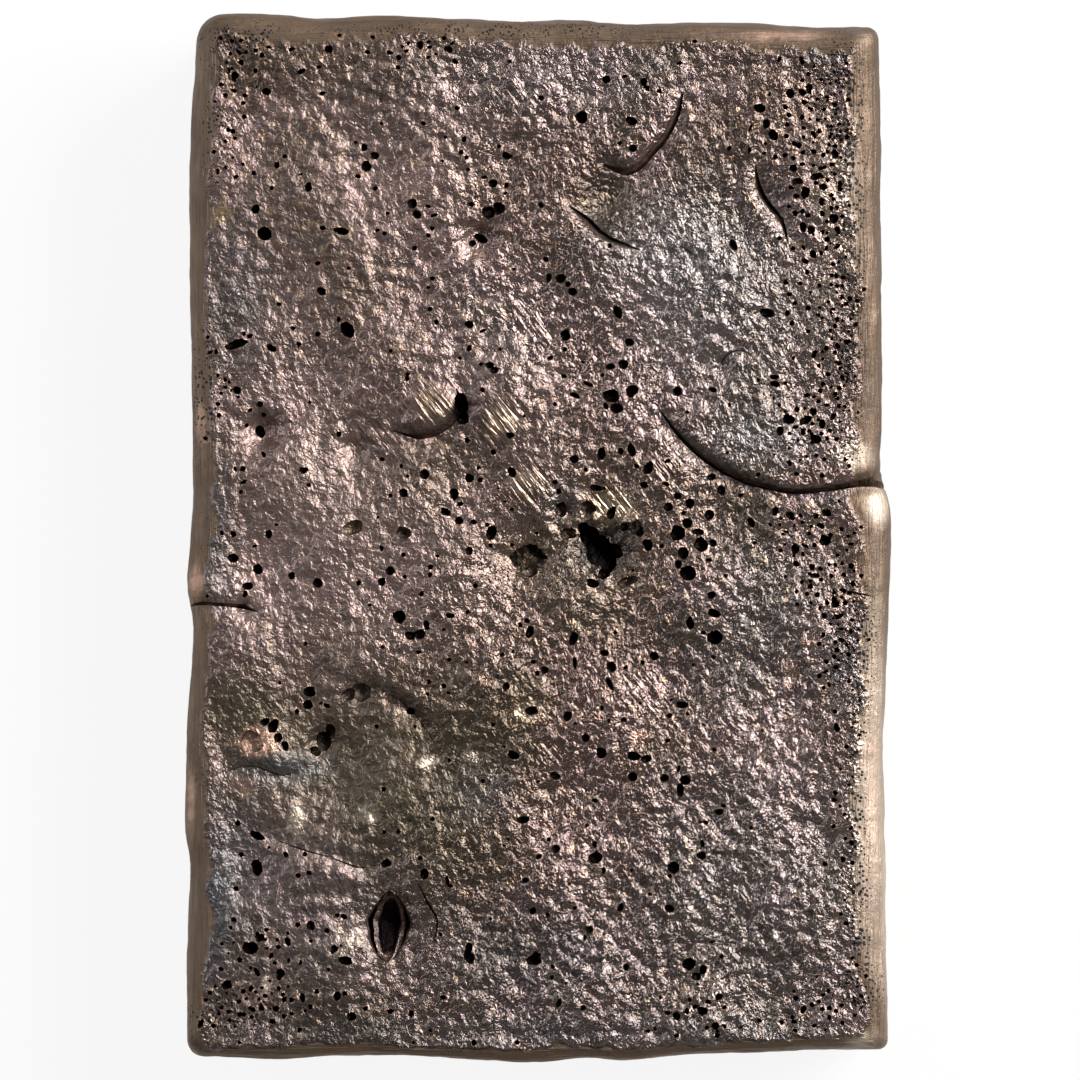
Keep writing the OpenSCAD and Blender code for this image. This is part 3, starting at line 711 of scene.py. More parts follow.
# Gas holes that show by themselves, zone by zone: pixel, width and length in pixels
HOLES: dict[str, tuple[tuple[float, float, float, float], ...]] = {
    "far left": (
        (268, 47, 5, 4), (291, 49, 7, 5), (328, 49, 9, 7), (300, 71, 9, 5), (318, 67, 5, 4),
        (255, 70, 5, 7), (240, 62, 6, 6), (234, 75, 7, 7), (266, 91, 8, 7), (321, 93, 8, 5),
        (232, 131, 5, 6), (234, 138, 4, 4), (363, 147, 7, 8), (374, 155, 7, 7), (366, 166, 10, 10),
        (357, 176, 6, 5), (375, 188, 6, 5), (308, 187, 7, 9), (255, 209, 8, 9), (235, 177, 6, 5),
        (253, 173, 5, 6), (217, 171, 4, 7), (225, 167, 4, 4), (242, 164, 4, 4), (412, 203, 9, 9),
        (417, 214, 8, 8), (420, 45, 6, 8), (408, 43, 4, 4), (367, 52, 6, 5), (406, 51, 5, 4),
        (390, 53, 5, 4), (372, 37, 5, 4), (339, 35, 5, 4), (276, 165, 6, 7), (284, 156, 5, 5),
        (300, 174, 5, 3), (355, 142, 4, 4), (271, 188, 5, 5), (220, 84, 4, 5), (232, 90, 5, 3),
        (240, 53, 5, 3), (261, 55, 5, 6), (228, 70, 3, 8), (381, 123, 4, 4), (387, 213, 4, 4),
        (264, 233, 13, 13), (322, 228, 7, 5), (341, 231, 15, 7), (377, 230, 5, 4), (384, 233, 5, 5),
        (317, 263, 6, 5), (348, 268, 4, 4), (321, 291, 9, 7), (347, 329, 12, 16), (338, 319, 5, 6),
        (317, 334, 6, 6), (236, 344, 22, 8), (271, 348, 10, 6), (249, 336, 7, 5), (243, 334, 4, 5),
        (292, 328, 5, 4), (259, 404, 7, 6), (236, 390, 7, 7), (263, 414, 5, 6), (407, 374, 5, 4),
        (218, 415, 5, 5), (249, 410, 6, 4), (245, 425, 5, 5), (217, 404, 5, 5), (217, 375, 4, 4),
        (228, 382, 4, 4), (207, 337, 4, 4), (209, 352, 5, 4), (298, 344, 5, 5), (309, 402, 4, 4),
        (278, 304, 5, 4),
    ),
    "far middle": (
        (429, 47, 6, 4), (428, 57, 5, 4), (448, 49, 9, 6), (452, 43, 6, 3), (456, 62, 5, 4),
        (541, 98, 7, 6), (582, 117, 11, 12), (632, 121, 11, 8), (607, 79, 8, 8), (625, 76, 7, 4),
        (644, 82, 7, 8), (647, 88, 6, 7), (659, 91, 8, 5), (633, 148, 7, 7), (620, 143, 5, 5),
        (507, 155, 10, 7), (499, 146, 5, 5), (464, 139, 5, 7), (461, 152, 5, 6), (466, 157, 5, 5),
        (468, 169, 4, 4), (484, 177, 7, 4), (493, 183, 8, 8), (506, 185, 5, 6), (505, 193, 5, 4),
        (489, 212, 12, 11), (499, 208, 11, 12), (541, 205, 6, 6), (428, 206, 6, 4), (434, 215, 8, 4),
        (471, 204, 8, 5), (423, 123, 6, 4), (445, 137, 4, 4), (442, 161, 4, 4), (457, 108, 6, 5),
        (432, 228, 5, 5), (428, 235, 5, 5), (561, 278, 10, 9), (549, 277, 5, 9), (568, 284, 6, 6),
        (573, 291, 8, 8), (546, 259, 7, 6), (610, 246, 5, 6), (436, 322, 5, 5), (469, 324, 9, 7),
        (482, 331, 9, 4), (469, 348, 5, 8), (490, 365, 8, 6), (494, 370, 8, 6), (482, 390, 6, 6),
        (618, 311, 8, 14), (566, 335, 10, 11), (565, 349, 5, 5), (550, 358, 7, 5), (630, 342, 9, 8),
        (624, 364, 9, 9), (611, 366, 9, 6), (589, 384, 11, 4), (632, 391, 13, 12), (612, 396, 16, 12),
        (617, 408, 12, 10), (606, 406, 5, 8), (575, 395, 12, 5), (555, 404, 4, 5), (432, 278, 6, 4),
        (428, 287, 5, 4), (514, 269, 4, 4), (583, 362, 5, 3), (564, 376, 6, 4), (500, 349, 4, 4),
        (460, 358, 4, 4), (481, 364, 5, 4),
    ),
    "far right": (
        (760, 108, 11, 8), (767, 124, 7, 9), (774, 134, 8, 11), (751, 128, 3, 9), (730, 148, 6, 6),
        (791, 93, 8, 9), (803, 92, 8, 6), (810, 87, 7, 7), (805, 102, 7, 6), (789, 115, 7, 6),
        (786, 107, 5, 5), (788, 124, 5, 6), (787, 136, 6, 6), (799, 145, 7, 6), (766, 143, 4, 4),
        (765, 153, 5, 4), (776, 157, 6, 6), (750, 150, 4, 7), (786, 155, 6, 5), (794, 168, 8, 7),
        (836, 154, 7, 9), (806, 192, 8, 13), (799, 181, 10, 6), (817, 176, 11, 6), (792, 187, 6, 5),
        (797, 196, 7, 6), (824, 187, 7, 7), (817, 183, 6, 5), (804, 152, 6, 5), (824, 155, 5, 6),
        (841, 184, 5, 8), (796, 213, 6, 6), (803, 211, 5, 6), (809, 215, 6, 5), (835, 218, 9, 8),
        (803, 117, 5, 7), (812, 109, 4, 6), (803, 80, 5, 5), (803, 62, 5, 5), (815, 66, 4, 4),
        (822, 79, 4, 4), (831, 83, 4, 4), (770, 94, 3, 5), (828, 97, 5, 4), (825, 109, 5, 4),
        (820, 131, 5, 6), (815, 135, 4, 7), (832, 126, 4, 4), (831, 137, 4, 6), (836, 146, 5, 5),
        (815, 152, 5, 5), (803, 164, 6, 4), (821, 168, 5, 5), (834, 199, 4, 5), (822, 203, 5, 6),
        (832, 208, 5, 5), (790, 206, 4, 5), (823, 213, 5, 6), (843, 216, 5, 5), (680, 63, 6, 4),
        (695, 41, 5, 4), (780, 59, 4, 7), (734, 245, 6, 11), (768, 313, 14, 9), (787, 282, 6, 6),
        (790, 294, 6, 5), (788, 313, 5, 6), (793, 323, 6, 6), (775, 377, 9, 5), (776, 384, 10, 6),
        (678, 391, 8, 10), (714, 390, 9, 5), (730, 405, 4, 6), (814, 412, 7, 8), (789, 419, 12, 10),
        (807, 420, 12, 7), (781, 431, 7, 9), (823, 424, 6, 9), (814, 254, 6, 8), (806, 261, 8, 5),
        (828, 239, 6, 6), (804, 227, 6, 10), (812, 230, 7, 8), (824, 232, 5, 5), (838, 229, 6, 6),
        (809, 308, 6, 7), (837, 276, 5, 7), (843, 297, 5, 6), (838, 319, 5, 5), (839, 346, 5, 6),
        (808, 272, 5, 6), (838, 286, 4, 5), (847, 304, 5, 6), (836, 326, 5, 6), (801, 283, 4, 5),
        (794, 248, 5, 5), (804, 247, 4, 6), (827, 248, 4, 7), (837, 247, 5, 5), (822, 253, 4, 6),
        (834, 264, 5, 5), (780, 238, 5, 5), (796, 303, 5, 5), (819, 315, 5, 4), (809, 331, 5, 4),
        (834, 309, 5, 4), (831, 330, 4, 4), (847, 342, 5, 6), (827, 348, 5, 5), (816, 352, 6, 4),
        (794, 358, 4, 5), (840, 363, 5, 6), (843, 377, 5, 5), (824, 384, 5, 5), (808, 395, 7, 5),
        (815, 397, 5, 4), (821, 391, 5, 6), (839, 398, 6, 4), (840, 406, 5, 6), (835, 415, 7, 4),
        (804, 430, 5, 4), (810, 431, 5, 4), (796, 427, 7, 4),
    ),
    "middle left": (
        (303, 470, 9, 6), (308, 485, 5, 4), (263, 455, 4, 8), (242, 469, 6, 7), (234, 469, 4, 5),
        (390, 571, 9, 8), (381, 582, 8, 8), (317, 583, 8, 9), (291, 576, 7, 7), (268, 534, 6, 8),
        (257, 569, 9, 10), (232, 534, 7, 6), (221, 533, 4, 5), (247, 586, 10, 7), (244, 594, 5, 8),
        (399, 617, 12, 13), (403, 555, 5, 5), (381, 548, 4, 8), (404, 577, 5, 5), (358, 583, 5, 6),
        (254, 546, 5, 4), (369, 605, 4, 4), (410, 636, 10, 8), (420, 634, 11, 10), (382, 459, 6, 5),
        (401, 466, 4, 5), (407, 476, 4, 4), (403, 493, 9, 8), (243, 482, 8, 4), (240, 492, 4, 5),
        (232, 558, 10, 8), (424, 474, 9, 9), (421, 594, 5, 7), (426, 624, 6, 8), (510, 435, 8, 6),
        (493, 452, 6, 6), (480, 480, 6, 6), (469, 478, 9, 9), (454, 494, 8, 11), (460, 504, 8, 5),
        (445, 512, 10, 7), (459, 521, 8, 8), (473, 522, 7, 6), (469, 551, 6, 8), (430, 567, 6, 6),
        (437, 556, 4, 4), (475, 586, 6, 6), (450, 616, 8, 6), (491, 533, 9, 14), (512, 472, 7, 10),
    ),
    "middle right": (
        (602, 453, 7, 12), (621, 451, 6, 7), (632, 450, 8, 13), (649, 468, 9, 13), (637, 466, 5, 5),
        (586, 470, 5, 6), (559, 491, 6, 7), (575, 459, 8, 7), (530, 632, 7, 11), (520, 625, 5, 6),
        (527, 621, 6, 5), (574, 639, 8, 12), (555, 482, 6, 5), (597, 488, 12, 6), (645, 485, 9, 6),
        (648, 545, 9, 12), (678, 533, 14, 15), (689, 573, 15, 14), (684, 553, 10, 11), (679, 564, 7, 8),
        (702, 545, 13, 14), (688, 523, 10, 9), (690, 503, 9, 10), (669, 507, 9, 8), (678, 496, 8, 6),
        (684, 513, 6, 5), (710, 515, 9, 10), (699, 532, 12, 6), (712, 595, 9, 7), (714, 613, 14, 8),
        (716, 637, 15, 13), (691, 623, 8, 12), (704, 633, 6, 5), (752, 522, 6, 10), (776, 511, 6, 9),
        (791, 515, 8, 7), (796, 549, 9, 9), (826, 540, 11, 11), (813, 567, 6, 7), (816, 576, 9, 5),
        (811, 587, 6, 7), (818, 595, 6, 6), (836, 604, 8, 8), (828, 603, 5, 6), (846, 603, 6, 6),
        (837, 617, 7, 6), (845, 591, 5, 6), (797, 564, 7, 6), (804, 554, 4, 6), (817, 516, 7, 6),
        (828, 513, 9, 7), (852, 544, 6, 4), (852, 566, 6, 7), (836, 565, 4, 5), (790, 463, 5, 7),
        (817, 439, 11, 8), (797, 474, 5, 5), (712, 477, 8, 6), (806, 546, 8, 4), (820, 525, 5, 4),
        (787, 532, 5, 4), (797, 592, 4, 6), (835, 593, 5, 4), (862, 527, 4, 4), (849, 536, 4, 4),
        (742, 495, 6, 4), (666, 484, 8, 5), (668, 461, 7, 4), (714, 543, 7, 7), (709, 560, 8, 4),
        (722, 490, 7, 9), (755, 543, 5, 4), (786, 577, 4, 5), (853, 620, 5, 4), (842, 640, 7, 5),
        (820, 644, 6, 5), (824, 635, 4, 6), (838, 650, 6, 6), (835, 657, 5, 5),
    ),
    "near left": (
        (272, 727, 10, 15), (284, 746, 7, 10), (307, 705, 10, 9), (309, 692, 12, 10), (264, 722, 9, 7),
        (277, 738, 7, 9), (411, 711, 9, 7), (376, 727, 5, 5), (326, 706, 8, 5), (285, 855, 5, 7),
        (240, 855, 6, 5), (268, 848, 4, 4), (237, 824, 6, 7), (256, 836, 14, 7), (296, 712, 5, 6),
        (398, 832, 4, 6), (345, 961, 14, 8), (334, 949, 7, 7), (343, 917, 8, 5), (250, 948, 15, 11),
        (259, 938, 9, 8), (270, 956, 5, 8), (239, 960, 6, 7), (288, 961, 4, 5), (300, 963, 4, 7),
        (310, 926, 7, 9), (297, 925, 5, 6), (256, 868, 10, 16), (302, 998, 5, 9), (316, 992, 5, 6),
        (310, 1007, 5, 6), (272, 1022, 7, 6), (275, 1009, 7, 6), (243, 1015, 5, 6), (252, 1010, 6, 6),
        (261, 1008, 4, 9), (250, 989, 5, 8), (242, 992, 5, 6), (226, 985, 9, 8), (200, 1024, 5, 9),
        (351, 1017, 10, 8), (390, 1012, 7, 6), (411, 1014, 6, 7), (365, 1009, 6, 5), (337, 996, 7, 9),
        (291, 1014, 5, 5), (280, 973, 8, 8), (235, 889, 6, 5), (287, 942, 5, 9), (233, 920, 6, 6),
        (308, 873, 6, 5), (256, 972, 5, 10), (283, 1000, 5, 7), (291, 1000, 5, 6), (386, 864, 10, 8),
        (221, 944, 4, 5), (230, 928, 4, 5),
    ),
    "near middle": (
        (545, 670, 7, 7), (533, 662, 6, 5), (537, 673, 5, 7), (506, 687, 6, 9), (612, 667, 9, 10),
        (605, 653, 9, 6), (626, 668, 5, 5), (610, 684, 5, 13), (655, 656, 9, 8), (602, 708, 4, 6),
        (624, 720, 7, 6), (609, 721, 4, 4), (586, 738, 8, 8), (602, 753, 10, 11), (634, 756, 13, 9),
        (633, 777, 9, 9), (555, 776, 9, 7), (538, 782, 5, 4), (523, 820, 11, 7), (556, 849, 7, 8),
        (539, 857, 7, 6), (595, 801, 8, 5), (595, 844, 7, 6), (596, 858, 13, 10), (513, 755, 12, 8),
        (493, 725, 5, 5), (532, 711, 13, 8), (568, 716, 8, 10), (647, 759, 10, 7), (513, 652, 4, 4),
        (575, 663, 4, 12), (448, 693, 4, 4), (587, 826, 4, 6), (469, 957, 10, 14), (469, 948, 7, 9),
        (534, 961, 16, 10), (536, 956, 10, 7), (533, 911, 6, 8), (548, 915, 5, 5), (447, 881, 4, 10),
        (450, 886, 5, 5), (525, 881, 9, 5), (590, 930, 8, 7), (585, 938, 4, 6), (626, 967, 7, 8),
        (621, 908, 6, 9), (583, 1008, 7, 6), (443, 998, 7, 6), (559, 1003, 5, 10), (553, 967, 5, 5),
        (552, 978, 4, 5), (604, 871, 5, 8), (474, 1043, 6, 6), (517, 1043, 5, 6), (440, 935, 3, 5),
        (424, 874, 7, 10),
    ),
    "near right": (
        (683, 705, 12, 8), (670, 716, 7, 6), (688, 714, 5, 4), (686, 780, 10, 10), (681, 790, 7, 12),
        (679, 769, 4, 8), (665, 778, 9, 7), (715, 750, 6, 6), (714, 657, 5, 5), (720, 812, 9, 6),
        (724, 806, 6, 5), (838, 728, 6, 9), (836, 712, 5, 5), (827, 662, 6, 5), (826, 672, 7, 4),
        (704, 725, 5, 3), (703, 844, 5, 8), (702, 856, 9, 8), (694, 665, 4, 4), (830, 685, 4, 7),
        (836, 793, 5, 5), (763, 731, 4, 4), (752, 828, 6, 5), (706, 823, 6, 5), (668, 741, 6, 5),
        (674, 868, 11, 11), (670, 909, 10, 7), (690, 964, 13, 11), (703, 970, 9, 11), (697, 977, 9, 8),
        (713, 942, 7, 4), (722, 957, 5, 5), (719, 997, 9, 6), (709, 1002, 6, 5), (703, 1011, 10, 8),
        (696, 1007, 7, 5), (687, 1012, 5, 8), (677, 1016, 6, 8), (668, 1013, 6, 5), (725, 1008, 6, 5),
        (677, 1036, 5, 5), (804, 1010, 6, 8), (716, 1026, 7, 7), (782, 1023, 5, 6), (795, 1022, 6, 5),
        (815, 1026, 5, 4), (830, 1018, 4, 6), (847, 924, 6, 5), (718, 1036, 6, 5), (796, 1031, 5, 4),
    ),
    # Shallow hollows whose brown floor shows
    "bowls": (
        (250, 743, 20, 22), (322, 741, 17, 26), (361, 691, 19, 18), (347, 694, 16, 12),
        (314, 752, 13, 10), (330, 730, 10, 14), (352, 528, 21, 14), (403, 533, 15, 13),
        (520, 559, 26, 26), (535, 551, 24, 22), (530, 568, 26, 18), (540, 562, 18, 16),
        (588, 506, 17, 11), (560, 508, 11, 20), (568, 534, 15, 13), (636, 526, 18, 14),
        (628, 582, 20, 10),
    ),
    # Lobes of the shrinkage cavity in the middle, and pits of the funnels and of the curled fold
    "shrinkage": (
        (590, 535, 18, 20), (599, 546, 24, 22), (606, 560, 20, 26), (614, 551, 20, 14),
        (598, 557, 20, 18), (583, 527, 10, 14), (612, 513, 8, 13), (625, 527, 9, 8), (592, 583, 12, 8),
        (460, 404, 14, 22), (259, 431, 9, 12), (481, 238, 13, 7), (472, 243, 8, 6), (463, 418, 12, 12),
        (640, 530, 8, 11), (604, 574, 14, 10),
    ),
}


@dataclass(frozen=True)
class FrozenSkin:
    """Node tree that adds the lumps of the freezing skin and cuts the holes. Sizes are in millimetres."""

    lump_height: float = 1.5
    long_lump_height: float = 1.9
    fine_height: float = 0.8
    ragged_height: float = 2.4
    wall_height: float = 0.22
    pore_least: float = 0.2
    pore_most: float = 0.38
    pore_gap: float = 0.78
    hole_sink: float = 0.3

    def lengths(self, top: float) -> dict[str, float]:
        """Values in metres of the tree's named lengths, with the height that no lump may pass."""
        sizes = {
            "Top": top,
            "Lump Height": self.lump_height,
            "Long Lump Height": self.long_lump_height,
            "Fine Height": self.fine_height,
            "Ragged Height": self.ragged_height,
            "Wall Height": self.wall_height,
            "Pore Least": self.pore_least,
            "Pore Most": self.pore_most,
            "Pore Gap": self.pore_gap,
        }
        return {name: size * MM for name, size in sizes.items()}

    def tree(self, material: bpy.types.Material, grooves: list[bpy.types.Object]) -> bpy.types.NodeTree:
        """Build the tree.

        Args:
            material: Finish of the slab.
            grooves: Cutters of the cold shuts and of the blow hole.

        Returns:
            The tree, which takes the blank and gives the cut and dressed slab.
        """
        tree = bpy.data.node_groups.new("frozen_skin", "GeometryNodeTree")
        ports = tree.interface
        ports.new_socket("Geometry", in_out="INPUT", socket_type="NodeSocketGeometry")
        ports.new_socket("Gas Holes", in_out="INPUT", socket_type="NodeSocketObject")
        ports.new_socket("Seed", in_out="INPUT", socket_type="NodeSocketInt")
        for name in self.lengths(top=0.0):
            ports.new_socket(name, in_out="INPUT", socket_type="NodeSocketFloat")
        ports.new_socket("Geometry", in_out="OUTPUT", socket_type="NodeSocketGeometry")
        graph = NodeGraph(tree)
        outputs = graph.node("NodeGroupInput").outputs
        inputs = {socket.name: Signal(graph, socket) for socket in outputs if socket.name}
        skin = self.lumpy_skin(graph, inputs)
        cutters = [self.placed_cutters(graph, inputs, skin), self.scattered_cutters(graph, inputs, skin)]
        for piece in grooves:
            cutters.append(graph.value("GeometryNodeObjectInfo", None, {"Object": piece}, "Geometry"))
        settings = {"operation": "DIFFERENCE", "solver": "MANIFOLD"}
        cut = graph.value("GeometryNodeMeshBoolean", settings, {"Mesh 1": skin, "Mesh 2": cutters})
        whole = graph.value("GeometryNodeRealizeInstances", None, {"Geometry": cut})
        dressed = graph.value("GeometryNodeSetMaterial", None, {"Geometry": whole, "Material": material})
        graph.node("NodeGroupOutput", None, {0: dressed})
        return tree

    def weight(self, graph: NodeGraph, name: str) -> Signal:
        """One of the blank's own weights."""
        return graph.value("GeometryNodeInputNamedAttribute", {"data_type": "FLOAT"}, {"Name": name})

    def lumpy_skin(self, graph: NodeGraph, inputs: dict[str, Signal]) -> Signal:
        """Blank with the lumps of the freezing skin.

        Args:
            graph: Tree to build in.
            inputs: The tree's named inputs.

        Returns:
            The lumpy blank.
        """
        place = graph.scaled(graph.value("GeometryNodeInputPosition"), 1.0 / MM)
        even = graph.noise(place, 0.78, 2.0, 0.5, 0.6) - 0.5
        long_way = graph.noise(graph.stretched(place, -58.0, 0.6, 1.0), 1.1, 2.0, 0.5, 0.5) - 0.5
        fine = graph.noise(graph.stretched(place, -80.0, 0.7, 1.0), 0.95, 2.0, 0.6, 0.4) - 0.5
        shards = graph.noise(place, 0.42, 3.0, 0.6, 1.2)
        rise = (
            even * inputs["Lump Height"] * self.weight(graph, "lumps")
            + long_way * inputs["Long Lump Height"] * self.weight(graph, "long_lumps")
            + fine * inputs["Fine Height"] * self.weight(graph, "fine_skin")
            + (shards - 0.5).magnitude() * inputs["Ragged Height"] * self.weight(graph, "ragged")
        )
        x, y, z = graph.parts(place)
        rise = rise.minimum(inputs["Top"] - z * MM)
        sockets = {"Geometry": inputs["Geometry"], "Offset": graph.vector(0.0, 0.0, rise)}
        lifted = graph.value("GeometryNodeSetPosition", None, sockets)
        flow = graph.noise(graph.vector(x * 0.16, y * 0.16, z * 0.9), 1.0, 3.0, 0.55)
        wall = self.weight(graph, "wall")
        inward = flow.ramp(0.35, 0.75) * inputs["Wall Height"] * wall * z.ramp(1.4, 3.0) * -1.0
        normal = graph.value("GeometryNodeInputNormal")
        sockets = {"Geometry": lifted, "Offset": graph.scaled(normal, inward)}
        return graph.value("GeometryNodeSetPosition", None, sockets)

    def rough_balls(self, graph: NodeGraph, sorts: tuple[tuple[int, float], ...]) -> Signal:
        """Instances of uneven balls, from which each hole takes one.

        Args:
            graph: Tree to build in.
            sorts: Fineness of the balls of each sort, and how dark the painted shade of their holes is.

        Returns:
            Four balls of each sort, sort by sort.
        """
        balls = []
        kinds = [sort for sort in sorts for _ in range(BALLS_PER_SORT)]
        for kind, (fineness, darkness) in enumerate(kinds):
            sockets = {"Radius": 1.0, "Subdivisions": fineness}
            ball = graph.value("GeometryNodeMeshIcoSphere", None, sockets)
            place = graph.value("GeometryNodeInputPosition")
            sockets = {"Vector": place, "W": 3.7 * kind, "Scale": 0.85, "Detail": 1.0}
            bulge = graph.value("ShaderNodeTexNoise", {"noise_dimensions": "4D"}, sockets)
            offset = graph.scaled(place, (bulge - 0.5) * 0.9)
            uneven = graph.value("GeometryNodeSetPosition", None, {"Geometry": ball, "Offset": offset})
            # Each ball's faces carry how dark the painted shade of its hole is
            settings = {"data_type": "FLOAT", "domain": "FACE"}
            sockets = {"Geometry": uneven, "Name": "hole", "Value": darkness}
            uneven = graph.value("GeometryNodeStoreNamedAttribute", settings, sockets)
            balls.append(graph.value("GeometryNodeGeometryToInstance", None, {"Geometry": uneven}))
        # A joining socket lists its links from the last to the first
        return graph.value("GeometryNodeJoinGeometry", None, {"Geometry": balls[::-1]})

    def pick(self, graph: NodeGraph, inputs: dict[str, Signal]) -> Signal:
        """Number of the uneven ball that a hole takes within its sort."""
        sockets = {4: 0, 5: BALLS_PER_SORT - 1, "Seed": inputs["Seed"]}
        return graph.value("FunctionNodeRandomValue", {"data_type": "INT"}, sockets, 2)

    def placed_cutters(self, graph: NodeGraph, inputs: dict[str, Signal], skin: Signal) -> Signal:
        """Cutters of the holes that show by themselves, set down on the skin.

        Args:
            graph: Tree to build in.
            inputs: The tree's named inputs.
            skin: The lumpy blank.

        Returns:
            One instance of an uneven ball for each hole.
        """
        points = graph.value("GeometryNodeObjectInfo", None, {"Object": inputs["Gas Holes"]}, "Geometry")
        sockets = {"Target Geometry": skin, "Ray Direction": (0.0, 0.0, -1.0), "Ray Length": 1.0}
        landing = graph.value("GeometryNodeRaycast", None, sockets, "Hit Position")
        settings = {"data_type": "FLOAT_VECTOR"}
        size = graph.value("GeometryNodeInputNamedAttribute", settings, {"Name": "hole_size"})
        depth = graph.parts(size)[2]
        sunk = graph.vector(0.0, 0.0, depth * -self.hole_sink)
        sockets = {"Geometry": points, "Position": landing, "Offset": sunk}
        landed = graph.value("GeometryNodeSetPosition", None, sockets)
        heading = graph.vector(0.0, 0.0, self.weight(graph, "hole_heading"))
        turn = graph.value("FunctionNodeEulerToRotation", None, {0: heading})
        sockets = {
            "Points": landed,
            "Instance": self.rough_balls(graph, HOLE_SORTS),
            "Pick Instance": True,
            "Instance Index": self.pick(graph, inputs) + self.weight(graph, "hole_sort") * BALLS_PER_SORT,
            "Rotation": turn,
            "Scale": size,
        }
        return graph.value("GeometryNodeInstanceOnPoints", None, sockets)

    def scattered_cutters(self, graph: NodeGraph, inputs: dict[str, Signal], skin: Signal) -> Signal:
        """Cutters of the small pores, scattered where the skin is porous.

        Args:
            graph: Tree to build in.
            inputs: The tree's named inputs.
            skin: The lumpy blank.

        Returns:
            One instance of an uneven ball for each pore.
        """
        sockets = {
            "Mesh": skin,
            "Distance Min": inputs["Pore Gap"],
            "Density Max": 1200000.0,
            "Density Factor": self.weight(graph, "pore_density"),
            "Seed": inputs["Seed"],
        }
        settings = {"distribute_method": "POISSON"}
        points = graph.value("GeometryNodeDistributePointsOnFaces", settings, sockets)
        sockets = {2: inputs["Pore Least"], 3: inputs["Pore Most"], "Seed": inputs["Seed"]}
        radius = graph.value("FunctionNodeRandomValue", {"data_type": "FLOAT"}, sockets, 1)
        sockets = {"Geometry": points, "Offset": graph.vector(0.0, 0.0, radius * -self.hole_sink)}
        landed = graph.value("GeometryNodeSetPosition", None, sockets)
        sockets = {
            "Points": landed,
            "Instance": self.rough_balls(graph, HOLE_SORTS[:1]),
            "Pick Instance": True,
            "Instance Index": self.pick(graph, inputs),
            "Scale": graph.vector(radius, radius, radius * 1.3),
        }
        return graph.value("GeometryNodeInstanceOnPoints", None, sockets)


